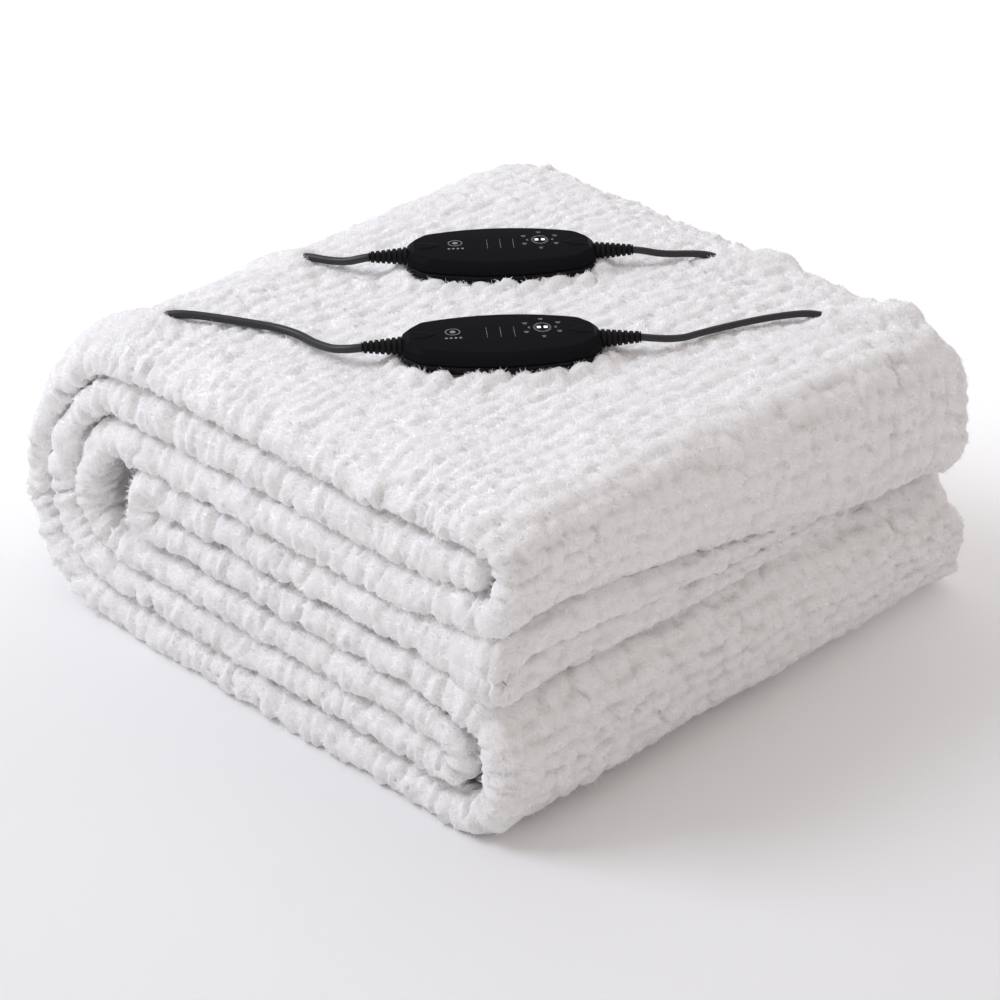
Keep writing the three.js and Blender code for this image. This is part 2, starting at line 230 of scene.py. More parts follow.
def fleeceMaterial(name, strands):
    # Cloth between the strands: where it lies deep its colour is mixed toward the darker, warmer
    # pit colour, which is painted shade in the pits, and its bump is short curls.
    # A strand takes its light as the cloth under it does: it carries that cloth's normal, and
    # what falls on its back comes through.
    material, shader = newMaterial(name, fleeceLook["light"], {
        "Roughness": 0.95, "Specular IOR Level": 0.12,
        "Sheen Weight": 0.25, "Sheen Roughness": 0.6,
    })
    depth = addNode(material, "Attribute", {}, attribute_name="pile").outputs["Fac"]
    # mixing toward the pit colour where the cloth lies deep paints shade into the pits
    shadedTint = addNode(material, "Mix", {
        "Factor": depth, "A": (*fleeceLook["pitShade"], 1.0), "B": (*fleeceLook["light"], 1.0),
    }, data_type="RGBA").outputs["Result"]
    wire(material, shader, {"Base Color": shadedTint})
    if strands:
        lie = addNode(material, "Attribute", {}, attribute_name="lie").outputs["Vector"]
        under = addNode(material, "VectorMath", {0: lie, "Scale": -1.0}, operation="SCALE")
        through = addNode(material, "BsdfTranslucent", {
            "Color": shadedTint, "Normal": under.outputs["Vector"],
        })
        both = addNode(material, "AddShader", {
            0: shader.outputs["BSDF"], 1: through.outputs["BSDF"],
        })
        wire(material, shader, {"Normal": lie})
        output = material.node_tree.nodes["Material Output"]
        wire(material, output, {"Surface": both.outputs["Shader"]})
        return material
    bump = None
    for look in (fleeceLook["curl"], fleeceLook["fibre"]):
        noise = addNoise(material, *look["noise"])
        bump = addBump(material, shader, noise, *look["bump"], bump)
    return material


plastics = {  # colour, roughness, scale and depth of the grain, shine
    "controlCaseBlack": ((0.0092, 0.0089, 0.0112), (0.24, 0.34), 2600.0, 0.00006, 0.006),
    "controlBaseBlack": ((0.0050, 0.0050, 0.0062), (0.38, 0.50), 2400.0, 0.00010, 0.16),
    "reliefRubber": ((0.0075, 0.0075, 0.0085), (0.48, 0.62), 1800.0, 0.00010, 0.16),
    "leadSheath": ((0.014, 0.014, 0.016), (0.36, 0.50), 1500.0, 0.00008, 0.5),
    "plugMoulding": ((0.0085, 0.0085, 0.0095), (0.34, 0.46), 1600.0, 0.00012, 0.16),
}


def plasticMaterial(name, colour, roughness, grain, depth, shine):
    shineInput = {"Specular IOR Level": shine}
    material, shader = cloudyMaterial(name, colour, roughness, 45.0, shineInput)
    addBump(material, shader, addNoise(material, grain), depth, 0.35)
    return material


fleece = fleeceMaterial("teddyFleece", False)
fleeceStrand = fleeceMaterial("fleeceStrand", True)
plasticPieces = [plasticMaterial(name, *look) for name, look in plastics.items()]
caseBlack, baseBlack, reliefBlack, leadBlack, plugBlack = plasticPieces
print("materials ready")

# Leads
mainsLead = {
    "diameter": 0.0052,
    "turns": (0.0366, 0.0314, 0.0262), "coilEnds": 0.0421,  # radii of the coil
    "rows": (0.0029, 0.0081),  # heights of the coil's two rows
}
heaterLead = {"diameter": 0.0044}
leadStep = 0.0032
coilMiddles = {"front": (-0.283, -0.045, 0.0), "back": (-0.275, 0.122, 0.0)}
# Points along the leads, in tenths of a millimetre
mainsWays = {
    "front": [
        (72, -1131, 2077), (36, -1166, 2070), (-26, -1197, 2056), (-106, -1214, 2040),
        (-250, -1214, 2024), (-410, -1200, 2018), (-570, -1230, 2018), (-725, -1305, 2022),
        (-870, -1380, 2025), (-1010, -1456, 2026), (-1110, -1524, 2026), (-1210, -1590, 2023),
        (-1340, -1660, 2008), (-1480, -1700, 1964), (-1635, -1720, 1875),
        (-1790, -1725, 1748), (-1930, -1725, 1596), (-2052, -1725, 1420),
        (-2140, -1725, 1220), (-2190, -1725, 1010), (-2210, -1725, 820), (-2218, -1725, 600),
        (-2220, -1720, 400), (-2222, -1704, 270), (-2224, -1678, 178), (-2228, -1624, 99),
        (-2236, -1544, 47), (-2248, -1450, 29), (-2280, -1260, 29), (-2328, -1070, 29),
        (-2374, -880, 29), (-2404, -680, 29), (-2409, -470, 29),
    ],
    "back": [
        (-816, -245, 2077), (-858, -280, 2064), (-926, -316, 2038), (-1010, -340, 2018),
        (-1104, -376, 2011), (-1210, -405, 2009), (-1325, -420, 1998), (-1489, -435, 1944),
        (-1650, -450, 1852), (-1810, -460, 1724), (-1957, -466, 1572), (-2076, -470, 1396),
        (-2159, -470, 1200), (-2204, -470, 1000), (-2218, -470, 820), (-2226, -470, 600),
        (-2228, -466, 400), (-2229, -450, 270), (-2230, -424, 178), (-2232, -370, 99),
        (-2234, -290, 47), (-2237, -196, 29), (-2244, 0, 29), (-2252, 220, 29),
        (-2264, 440, 29), (-2288, 660, 29), (-2314, 860, 29), (-2328, 1010, 29),
        (-2329, 1200, 29),
    ],
}
# From the coil to the plug, measured from the coil's middle
endWay = [
    (415, 75, 80), (411, 170, 52), (390, 270, 32), (345, 370, 34), (285, 450, 52),
    (232, 520, 76), (200, 595, 92), (190, 670, 95),
]
heaterWays = {
    "front": [
        (1128, 120, 2077), (1172, 176, 2066), (1216, 276, 2042), (1240, 390, 2020),
        (1256, 520, 2010), (1296, 690, 2004), (1345, 865, 1998), (1400, 1020, 1992),
        (1474, 1164, 1988), (1540, 1244, 1983), (1610, 1316, 1978), (1680, 1406, 1974),
        (1726, 1500, 1970), (1750, 1586, 1960), (1764, 1676, 1940), (1772, 1766, 1912),
        (1776, 1830, 1876), (1778, 1872, 1818), (1779, 1899, 1730), (1779, 1926, 1600),
        (1778, 1950, 1460), (1775, 1972, 1310), (1768, 1992, 1160), (1758, 2012, 1010),
        (1746, 2026, 880), (1716, 2038, 746), (1660, 2036, 644), (1576, 2020, 570),
        (1470, 2006, 549), (1330, 2001, 555), (1160, 2000, 565), (980, 2000, 577),
    ],
    "back": [
        (262, 987, 2077), (304, 1042, 2066), (350, 1120, 2040), (388, 1206, 2018),
        (430, 1290, 2006), (500, 1370, 2000), (584, 1440, 1996), (670, 1520, 1990),
        (730, 1606, 1976), (764, 1694, 1954), (780, 1776, 1924), (788, 1836, 1886),
        (792, 1876, 1826), (794, 1902, 1736), (794, 1928, 1600), (794, 1950, 1460),
        (793, 1972, 1300), (790, 1992, 1140), (780, 2010, 980), (746, 2028, 840),
        (686, 2036, 726), (600, 2022, 642), (500, 2007, 616), (360, 2001, 622),
        (180, 2000, 635), (0, 2000, 648),
    ],
}
# Where the pile closes over a lead, the lead lies deeper in it: from, to, depth, taper, and
# where the left-hand bend starts
leadSinks = {
    "mains_front": (0.126, 0.292, 0.0042, 0.030, -0.115),
    "mains_back": (0.036, 0.242, 0.0042, 0.030, -0.115),
    "heater_front": (0.118, 0.185, 0.0034, 0.022, -1.0),
    "heater_back": (0.046, 0.105, 0.0034, 0.022, -1.0),
}


def inMetres(way):
    return np.array(way) / 10000


def coilTurns():
    # Angle runs on evenly while the radius steps from turn to turn within 50 degrees of the
    # same side: three turns inward on the lower row, then three outward on the upper one
    stepOver = 50.0
    angle = np.radians(np.arange(4.0, 2161.0, 6.0))
    degrees = np.degrees(angle)
    outer, middle, inner = mainsLead["turns"]
    loose = mainsLead["coilEnds"]
    radii = [loose, outer, middle, inner, inner, middle, outer, loose]
    starts = [0.0, 360.0, 720.0, 1080.0, 1440.0, 1800.0, 2120.0]
    radius = np.full(len(angle), loose)
    for start, before, after in zip(starts, radii[:-1], radii[1:]):
        radius += (after - before) * smoothStep(start, start + stepOver, degrees)
    low, high = mainsLead["rows"]
    height = low + (high - low) * smoothStep(1080.0, 1080.0 + stepOver, degrees)
    return np.stack([radius * np.cos(angle), radius * np.sin(angle), height], axis=1)


def sinkLead(line, first, last, depth, taper, bendStart):
    # inward, that is down on the top and toward the middle of the bend round the left side
    gone = travelled(line)
    share = smoothStep(first, first + taper, gone) * (1 - smoothStep(last - taper, last, gone))
    left = np.minimum(line[:, 0] - bendStart, 0.0)
    outward = np.stack([left, 0 * gone, line[:, 2] - 0.1], axis=1)
    outward /= np.maximum(np.linalg.norm(outward, axis=1, keepdims=True), 1e-6)
    return line - outward * (depth * share)[:, None]


def leadCurve(kind, name, way, diameter):
    # a round tube on one open spline
    line = sinkLead(smoothLine(way - centre, leadStep), *leadSinks[f"{kind}_{name}"])
    pieceName = f"{kind}Lead_{name}"
    data = bpy.data.curves.new(pieceName, "CURVE")
    data.dimensions = "3D"
    data.bevel_depth = diameter / 2
    data.bevel_resolution = 3
    data.use_fill_caps = True
    spline = data.splines.new("POLY")
    spline.points.add(len(line) - 1)
    spline.points.foreach_set("co", np.hstack([line, np.ones((len(line), 1))]).ravel())
    print(f"{kind} lead {name}: {lineLength(line):.3f} m")
    return addPiece(pieceName, data, leadBlack), line


mainsLeads, heaterLeads = {}, {}
for name, way in mainsWays.items():
    middle = np.array(coilMiddles[name])
    whole = np.vstack([inMetres(way), coilTurns() + middle, inMetres(endWay) + middle])
    mainsLeads[name] = leadCurve("mains", name, whole, mainsLead["diameter"])
    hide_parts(f"mains_lead_{name}", f"mains_coil_{name}", f"mains_end_{name}")
for name, way in heaterWays.items():
    heaterLeads[name] = leadCurve("heater", name, inMetres(way), heaterLead["diameter"])
    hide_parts(f"heater_lead_{name}")

# The fold
fold = {
    "height": 0.199,
    "length": 0.414,
    "endRound": 0.0110,
    "layers": {  # height of the middle, thickness
        "a": (0.1880, 0.0200), "b": (0.1620, 0.0270), "c": (0.1340, 0.0250),
        "d": (0.1090, 0.0220), "e": (0.0852, 0.0220), "f": (0.0610, 0.0220),
        "g": (0.0365, 0.0220), "h": (0.0112, 0.0224),
    },
    "freeEnds": {"d": 0.208, "b": 0.190},
    "bends": [  # from, to, side, how far the middle line reaches, thickness there, squareness
        ("d", "e", -1, -0.0980, 0.0210, 2.0), ("e", "h", 1, 0.2090, 0.0250, 2.7),
        ("h", "a", -1, -0.2043, 0.0220, 2.0), ("a", "c", 1, 0.2060, 0.0180, 2.7),
        ("c", "f", -1, -0.1530, 0.0230, 2.0), ("f", "g", 1, 0.1790, 0.0215, 2.0),
        ("g", "b", -1, -0.1810, 0.0230, 2.0),
    ],
    "creaseEven": (0.0, 0.0975, 0.1215, 0.199),  # heights of the even fold's creases
    "creaseFalling": (0.0, 0.0770, 0.1000, 0.199),  # and where they lie at the far end
    "creaseOpen": (0.0, 0.0875, 0.1335, 0.199),  # and at the near one
    "slump": 0.005,
    "drawnDepth": 0.045, "drawnWidth": 0.014, "drawnHeight": 0.050,
    "leanNear": 0.016, "leanFar": 0.020, "leanBoth": 0.0024,
    "bendCentre": 0.100, "shearNear": 0.15, "shearFar": 0.03, "swell": 0.006,
    "tierLow": 0.0015, "tierHigh": 0.012,
    "wave": (0.0013, 0.061, 0.053),
}
# Where each of these starts and where it is full, in metres for X and Z, and as a share of the
# way from the near end to the far one for Depth
foldReach = {
    "fallX": (-0.120, 0.200), "fallDepth": (0.05, 0.95), "openDepth": (0.10, 0.75),
    "leftX": (-0.100, -0.200), "rightX": (0.120, 0.200), "upperZ": (0.100, 0.125),
    "slumpX": (0.060, 0.220), "slumpDepth": (0.4, 1.0),
    "leanNearDepth": (0.0, 0.3), "leanFarDepth": (0.7, 1.0),
}
halfDepth = fold["length"] / 2


def settle(x, y, z):
    # The even fold's points moved to the settled stack: the left bend shears and swells, the
    # right-hand creases fall toward the far end and open at the near one, the far right corner
    # slumps, both ends are drawn in and the end faces lean back
    f, reach = fold, foldReach
    way = (y + halfDepth) / f["length"]
    high = z / f["height"]
    fall = smoothStep(*reach["fallX"], x) * smoothStep(*reach["fallDepth"], way)
    left = smoothStep(*reach["leftX"], x)
    right = smoothStep(*reach["rightX"], x)
    upper = smoothStep(*reach["upperZ"], z)
    back = smoothStep(0.0, 1.0, way)
    shear = f["shearNear"] + (f["shearFar"] - f["shearNear"]) * back
    outX = x + left * shear * (z - f["bendCentre"])
    outX = outX - left * f["swell"] * back * np.sin(np.pi * np.clip(high, 0.0, 1.0))
    outX = outX + right * way * (f["tierLow"] + (f["tierHigh"] - f["tierLow"]) * upper)
    opening = right * (1.0 - smoothStep(*reach["openDepth"], way))
    outZ = z + fall * (np.interp(z, f["creaseEven"], f["creaseFalling"]) - z)
    outZ = outZ + opening * (np.interp(z, f["creaseEven"], f["creaseOpen"]) - z)
    slump = f["slump"] * high * smoothStep(*reach["slumpX"], x)
    outZ = outZ - slump * smoothStep(*reach["slumpDepth"], way)
    inside = np.minimum(y + halfDepth, halfDepth - y) / f["drawnDepth"]
    drawn = np.where(inside < 1.0, (1.0 - inside) ** 2, 0.0)
    outX = outX * (1.0 - f["drawnWidth"] * drawn)
    outZ = outZ * (1.0 - f["drawnHeight"] * drawn)
    swing, waveX, waveY = f["wave"]
    outZ = outZ + swing * high * np.sin(x / waveX + 0.4) * np.sin(y / waveY + 1.1)
    outY = y + f["leanNear"] * high * (1.0 - smoothStep(*reach["leanNearDepth"], way))
    outY = outY - f["leanFar"] * high * high * smoothStep(*reach["leanFarDepth"], way)
    outY = outY - f["leanBoth"]
    return np.stack([outX - centre[0], outY - centre[1], outZ], axis=-1)


def bandLine():
    # Middle line of the band in the section: straight layers joined by half superellipses that
    # are as high as the two layers are apart: x^n + z^n = 1, where n = 2 is round and more is
    # squarer. Columns are x, z, thickness, distance from the start.
    layers, ends = fold["layers"], fold["freeEnds"]
    rows = [np.array([[ends["d"], *layers["d"]]])]
    angle = np.linspace(0.0, np.pi, 61)[:, None]
    sine, cosine = np.maximum(np.sin(angle), 0.0), np.cos(angle)
    for source, goal, side, reach, bendThick, square in fold["bends"]:
        (low, lowThick), (high, highThick) = layers[source], layers[goal]
        half = abs(high - low) / 2
        x = reach - side * half + side * half * sine ** (2.0 / square)
        rise = np.sign(cosine) * np.abs(cosine) ** (2.0 / square)
        z = (low + high) / 2 - (high - low) / 2 * rise
        thick = lowThick + (highThick - lowThick) * angle / np.pi
        rows.append(np.hstack([x, z, thick + (bendThick - thick) * np.sin(angle)]))
    rows.append(np.array([[ends["b"], *layers["b"]]]))
    corner = np.vstack(rows)
    gone = travelled(corner[:, :2])
    places = np.arange(0.0, gone[-1], 0.0005)
    return np.stack([np.interp(places, gone, c) for c in corner.T] + [places], axis=1)


band = bandLine()
bandLength = float(band[-1, 3])
heading = np.gradient(band[:, :2], axis=0)
heading /= np.linalg.norm(heading, axis=1)[:, None]

# Where each bend starts and ends along the band
bendEnds = {}
for source, goal, side, reach, *_ in fold["bends"]:
    start, stop = fold["layers"][source][0], fold["layers"][goal][0]
    fromMiddle = band[:, 0] - (reach - side * abs(stop - start) / 2)
    nearest = [np.hypot(fromMiddle, band[:, 1] - height).argmin() for height in (start, stop)]
    bendEnds[source + goal] = tuple(float(band[k, 3]) for k in nearest)


def bandAt(places):
    # x, z, thickness and heading of the band at distances along it
    columns = [band[:, 0], band[:, 1], band[:, 2], heading[:, 0], heading[:, 1]]
    return [np.interp(places, band[:, 3], c) for c in columns]


def bandGrid(places, y, share, side):
    # points of one side of the band: off the middle line by a share of half the thickness
    x, z, thick, runX, runZ = [v[:, None] for v in bandAt(places)]
    off = 0.5 * side * thick * share[None, :]
    wide = np.broadcast_to(y[None, :], (len(places), len(y)))
    return settle(x - runZ * off, wide, z + runX * off)


def gridNormals(grid, closed=False):
    # cross product of the steps along and across the grid
    along = np.gradient(grid, axis=0)
    if closed:
        over = np.roll(grid, -1, axis=1) - np.roll(grid, 1, axis=1)
    else:
        over = np.gradient(grid, axis=1)
    return unit(np.cross(along, over))


# Tufts
tuftLook = {
    "alongPitch": 0.0104,  # rows of tufts lie across the band, so along the folds
    "acrossPitch": 0.0150,
    "rib": 0.010,  # how far the tufts at the band's edge reach round it
    "relief": 0.0031,
    "ribRelief": 0.95,  # share of the relief at the band's edges
    "crest": 0.0002,  # how far the tallest stand above the solid
    "ribFill": 0.0017,  # how much fuller the band is at its edges
    "lump": 0.0007,  # unevenness of a tuft, of the fluff on it, of curls on the ribs
    "fluff": 0.0007,
    "curls": 0.0012,
    "sag": 0.0010,  # and of the whole face
}
domeLook = {
    "sway": ((0.30, 0.034, 3), (0.20, 0.012, 4)),  # how rows wander: amount, size and seed
    "edgeSway": ((0.42, 0.026, 12), (0.24, 0.0070, 13)),  # and more at the band's edges
    "jitterAlong": 0.36, "jitterAcross": 0.75, "acrossWeight": 0.60,  # of the cells' middles
    "border": 4.6,  # more is a narrower valley between cells
    "ridgePower": 2.6,
    "pitAt": (0.20, 0.38), "pitDeep": 0.55,
    "ridge": 0.32, "cells": 0.68, "round": 0.35,  # parts of the dome's height
    "least": 0.58,  # the lowest tuft against the tallest
}
tuftRows, tuftsMost, tableSize = 400, 80, 512
tuftTable = chance.random((tuftRows, tuftsMost, 3))
rowShift = chance.random(tuftRows)
fluffTable = chance.random((tableSize, tableSize))


def endShare(depth):
    # share of the half thickness at a depth from the band's edge: a quarter superellipse
    inward = 1.0 - np.minimum(depth / fold["endRound"], 1.0)
    return np.clip(1.0 - inward**2.1, 0.0, 1.0) ** (1 / 2.1)


def acrossBand(depths, inner):
    # One side of the band from the near edge to the far one: y, share of the half thickness and
    # the place among the tufts, which counts the rounded edge at a third of its width, so that
    # one tuft there covers the whole rib. depths holds the near edge's steps, inner the rest.
    y = np.concatenate([depths - halfDepth, inner, halfDepth - depths[::-1]])
    share = endShare(np.minimum(y + halfDepth, halfDepth - y))
    steps = np.hypot(np.diff(y), np.diff(share) * fold["endRound"])
    over = np.concatenate([[0.0], np.cumsum(steps)])
    rib = tuftLook["rib"]
    edge = np.minimum(over, rib) + np.maximum(over - over[-1] + rib, 0.0)
    return y, share, over - 0.65 * edge


def inwardShare(y):
    # 0 at the band's edges, 1 past its outermost tufts
    return smoothStep(0.010, 0.026, halfDepth - np.abs(y))


# A whole number of tufts goes round the band
roughRing = acrossBand(np.arange(0.0, 0.01, 0.0005), np.linspace(-0.19, 0.19, 40))
ringLength = 2 * roughRing[2][-1]
tuftColumns = int(round(ringLength / tuftLook["acrossPitch"]))
acrossPitch = ringLength / tuftColumns


def patchNoise(along, across, size, seed):
    # smooth random heights from -1 to 1, from a table read between its four nearest values
    u, v = along / size + 31.7 * seed, across / size + 17.3 * seed
    i, j = np.floor(u).astype(int), np.floor(v).astype(int)
    a, b = u - i, v - j
    a, b = a * a * (3 - 2 * a), b * b * (3 - 2 * b)
    i, j, nextI, nextJ = [k % tableSize for k in (i, j, i + 1, j + 1)]
    low = fluffTable[i, j] * (1 - b) + fluffTable[i, nextJ] * b
    high = fluffTable[nextI, j] * (1 - b) + fluffTable[nextI, nextJ] * b
    return 2.0 * (low * (1 - a) + high * a) - 1.0


def noiseSum(along, across, table):
    return sum(amount * patchNoise(along, across, size, seed) for amount, size, seed in table)


def tuftDome(along, across, inward):
    # Rows of tufts across the band. A row is a ridge, 1 - |t|^power from valley to valley. It is
    # broken into domed cells round jittered centres, 0 where the nearest and the next centre
    # are as far away. A pit lies where three cells meet, far from every centre. Rows start at
    # their own places inside, and all with a whole tuft at the band's edge (inward is 0).
    look = domeLook
    u = along / tuftLook["alongPitch"] + noiseSum(along, across, look["sway"])
    u = u + (1 - inward) * noiseSum(along, across, look["edgeSway"])
    v = across / acrossPitch + 0.5
    row = np.floor(u).astype(int)
    nearest = np.full(u.shape, 9.0)
    following = np.full(u.shape, 9.0)
    top = np.zeros(u.shape)
    for rowStep in (-1, 0, 1):
        r = (row + rowStep) % tuftRows
        shift = rowShift[r] * inward
        cell = np.floor(v - shift).astype(int)
        for cellStep in (-1, 0, 1):
            own = tuftTable[r, (cell + cellStep) % tuftColumns]
            moved = look["jitterAlong"] * (own[..., 0] - 0.5)
            du = u - (row + rowStep + 0.5 + moved)
            moved = look["jitterAcross"] * (own[..., 1] - 0.5) * inward
            dv = v - shift - (cell + cellStep + 0.5 + moved)
            far = du * du + look["acrossWeight"] * dv * dv
            closer = far < nearest
            following = np.where(closer, nearest, np.minimum(following, far))
            top = np.where(closer, own[..., 2], top)
            nearest = np.minimum(nearest, far)
    cells = 1.0 - np.exp(-look["border"] * (np.sqrt(following) - np.sqrt(nearest)))
    ridge = 1.0 - np.abs(2.0 * (u - row) - 1.0) ** look["ridgePower"]
    dome = look["ridge"] * ridge + look["cells"] * cells * (1.0 - look["round"] * nearest)
    dome = dome * (look["least"] + (1.0 - look["least"]) * top)
    return np.clip(dome - look["pitDeep"] * smoothStep(*look["pitAt"], nearest), -0.5, 1.0)


def tuftHeight(along, across, inward):
    # tufts, finer fluff and a slow unevenness on a grid of places along and across the band
    along, across, inward = np.broadcast_arrays(along, across, inward)
    look = tuftLook
    dome = tuftDome(along, across, inward)
    strength = 0.85 + 0.30 * patchNoise(along, across, 0.075, 5)  # patches of fuller tufts
    strength = strength * (look["ribRelief"] + (1 - look["ribRelief"]) * inward)
    height = look["crest"] + look["relief"] * strength * (dome - 0.80)
    height = height + look["ribFill"] * (1 - inward)
    return height + noiseSum(along, across, [
        (look["lump"] * (2.0 - inward), 0.0095, 6),
        (look["fluff"] * (1.9 - 0.9 * inward), 0.0042, 7),
        (look["fluff"] * 0.6, 0.0023, 9),
        (look["sag"], 0.048, 11),
        (look["curls"] * (1 - inward), 0.0033, 14),
    ]), dome


# Where a lead is out of sight in the photograph, the pile closes over it, and the cloth's
# rounded edge does where a heater lead goes in. The figures are distances along the lead.
tucked = {
    "skin": {
        "mains_front": (0.121, 0.300), "mains_back": (0.031, 0.250),
        "heater_front": (0.112, 0.262), "heater_back": (0.041, 0.180),
    },
    "edge": {"heater_front": (0.345, 0.450), "heater_back": (0.255, 0.360)},
}
tuckLook = {
    "skin": {"taper": 0.022, "near": 0.0030, "far": 0.022, "cover": 0.0024, "most": 0.0125},
    "edge": {"taper": 0.020, "near": 0.0018, "far": 0.0070, "cover": 0.0014, "most": 0.0060},
    "clear": 0.0004, "flatter": 0.50,
    "pressMost": 0.0045, "pressFade": (0.0005, 0.0035),
    "behind": 0.0020,  # cloth this far past a lead's middle line still goes out
    "onCover": 0.46,  # no lead touches the cover further along than this
}
leadLines = {f"mains_{name}": (line, mainsLead) for name, (_, line) in mainsLeads.items()}
leadLines |= {f"heater_{name}": (line, heaterLead) for name, (_, line) in heaterLeads.items()}


def tuckLeads(points, normal, where):
    # The nearest point of a lead decides. In a tucked stretch cloth beside the lead goes out
    # past the lead's outer side, less and less over its reach, and from nothing to all over
    # the taper. Elsewhere cloth that touches the lead goes in until it is just clear of it.
    lift = np.zeros(points.shape[:2])
    press = np.zeros(points.shape[:2])
    look = tuckLook[where]
    fadeStart, fadeStop = tuckLook["pressFade"]
    for name, (line, size) in leadLines.items():
        first, last = tucked[where].get(name, (9.0, 9.1))  # past the end where it isn't tucked
        radius = size["diameter"] / 2
        gone = travelled(line)
        chosen = gone < tuckLook["onCover"]
        spots, gone = line[chosen], gone[chosen]
        low, high = spots.min(axis=0) - 0.03, spots.max(axis=0) + 0.03
        near = np.where(((points > low) & (points < high)).all(axis=2))
        for some in np.array_split(np.arange(len(near[0])), 1 + len(near[0]) // 20000):
            spot = (near[0][some], near[1][some])
            apart = points[spot][:, None, :] - spots[None]
            squared = (apart * apart).sum(axis=2)
            best = squared.argmin(axis=1)
            picked = (np.arange(len(best)), best)
            stands = -(apart[picked] * normal[spot]).sum(axis=1)
            beside = np.sqrt(np.maximum(squared[picked] - stands * stands, 0.0))
            part = smoothStep(first, first + look["taper"], gone[best])
            part = part * (1.0 - smoothStep(last - look["taper"], last, gone[best]))
            cover = part * (stands > -tuckLook["behind"])
            cover = cover * (1.0 - smoothStep(look["near"], look["far"], beside))
            wanted = np.clip(stands + radius + look["cover"], 0.0, look["most"])
            lift[spot] = np.maximum(lift[spot], wanted * cover)
            room = np.clip(radius + tuckLook["clear"] - stands, 0.0, tuckLook["pressMost"])
            room = room * (stands > -radius)
            room = room * (1.0 - smoothStep(radius + fadeStart, radius + fadeStop, beside))
            press[spot] = np.maximum(press[spot], room * (1.0 - part))
    return lift, press


def settleUnderLeads(grid, normal, height, where):
    # tufts are flatter where the pile closes over a lead, and pushed in where one lies on them
    lift, press = tuckLeads(grid, normal, where)
    height = height * (1.0 - tuckLook["flatter"] * smoothStep(0.0, 0.004, lift)) + lift
    grid = grid + normal * height[..., None]
    lift, press = tuckLeads(grid, normal, where)
    return grid - normal * press[..., None]


fillLook = {  # how much, and how far along the band
    "crease": (0.0066, 0.018), "creaseFar": 0.0048, "creaseIn": 0.010,
    "eyeOuter": (0.0066, 0.024), "eyeInner": (0.0056, 0.017),
}


def swellAt(places, middle, amount, reach):
    # a bell curve along the band
    return amount * np.exp(-(((places - middle) / reach) ** 2))[:, None]


def creaseFill(places, y):
    # the two right-hand bends are fuller where they meet the free end, most at the far end,
    # and not at all at the very edge
    (near, reach), inward = fillLook["crease"], fillLook["creaseIn"]
    fill = near + fillLook["creaseFar"] * smoothStep(0.45, 1.0, y / fold["length"] + 0.5)
    fill = (fill * smoothStep(0.0005, 0.0070, halfDepth - np.abs(y)))[None, :]
    middles = (bendEnds["eh"][0] + inward, bendEnds["ac"][1] - inward)
    return fill * sum(swellAt(places, middle, 1.0, reach) for middle in middles)


def eyeFill(places, outside):
    # the cloth swells into the eye between the bend c to f and the bend d to e inside it
    outer, inner = sum(bendEnds["cf"]) / 2, sum(bendEnds["de"]) / 2
    swell = swellAt(places, outer, *fillLook["eyeOuter"]) * outside
    return swell + swellAt(places, inner, *fillLook["eyeInner"]) * (1 - outside)


# Hand controls' places, because the pile gives way under them
controls = {
    "front": {"place": (0.0600, -0.0506), "turn": 49.8},
    "back": {"place": (-0.0277, 0.0371), "turn": 48.8},
}
controlBody = {
    "seat": 0.1995, "length": 0.117, "width": 0.058, "shoulder": 0.041, "tip": 0.020,
    "chamfer": 0.0085, "thick": 0.015, "axisHeight": 0.0083,
}
pressLook = {
    "topOnly": (0.17, 0.19),  # heights between which the pile starts to give way
    "flatAt": 0.1990,
    "rise": 0.0046, "riseTufts": 0.0020, "riseReach": 0.0150,
}


def controlFrame(control):
    # place, the way ahead and the way to its left
    turn = np.radians(control["turn"])
    ahead = np.array([np.cos(turn), np.sin(turn)])
    return np.array(control["place"]) - centre[:2], ahead, np.array([-ahead[1], ahead[0]])


def outsideControl(points, control):
    # distance outside a control's outline, seen from above: the largest of the distances past
    # its end, its chamfer and its arched side
    place, ahead, left = controlFrame(control)
    flat = points[..., :2] - place
    u, v = np.abs(flat @ ahead), np.abs(flat @ left)
    half, side = controlBody["length"] / 2, controlBody["shoulder"] / 2
    bulge = controlBody["width"] / 2 - side
    arch = side + bulge * (1.0 - np.clip(u / (half - controlBody["chamfer"]), 0, 1) ** 2)
    corner = (u - half + controlBody["chamfer"]) * 0.78 + (v - side) * 0.63
    return np.maximum.reduce([u - half, v - arch, corner])


def pressUnder(points, dome):
    # The pile is flat under a control and stands up against its edge, most where the tufts are
    look = pressLook
    for control in controls.values():
        out = outsideControl(points, control)
        top = smoothStep(*look["topOnly"], points[..., 2])
        flatten = top * (1.0 - smoothStep(-0.004, 0.001, out))
        points[..., 2] += flatten * (np.minimum(points[..., 2], look["flatAt"]) - points[..., 2])
        rise = top * smoothStep(-0.0006, 0.0009, out)
        rise = rise * (1.0 - smoothStep(0.0020, look["riseReach"], out))
        points[..., 2] += rise * (look["rise"] + look["riseTufts"] * dome)
    return points


def clothPiece(name, grid, faces, dome):
    # one surface of the cover, which nowhere goes through the floor
    points = grid.reshape(-1, 3).copy()
    points[:, 2] = np.maximum(points[:, 2], 0.0)
    mesh = makeMesh(name, points, faces)
    # how high the cloth stands among its tufts; the fleece turns low places into painted shade
    addAttribute(mesh, "pile", "FLOAT", np.clip(0.25 + 1.1 * dome, 0, 1))
    print(f"{name}: {len(faces)} faces")
    return addPiece(name, mesh, fleece)


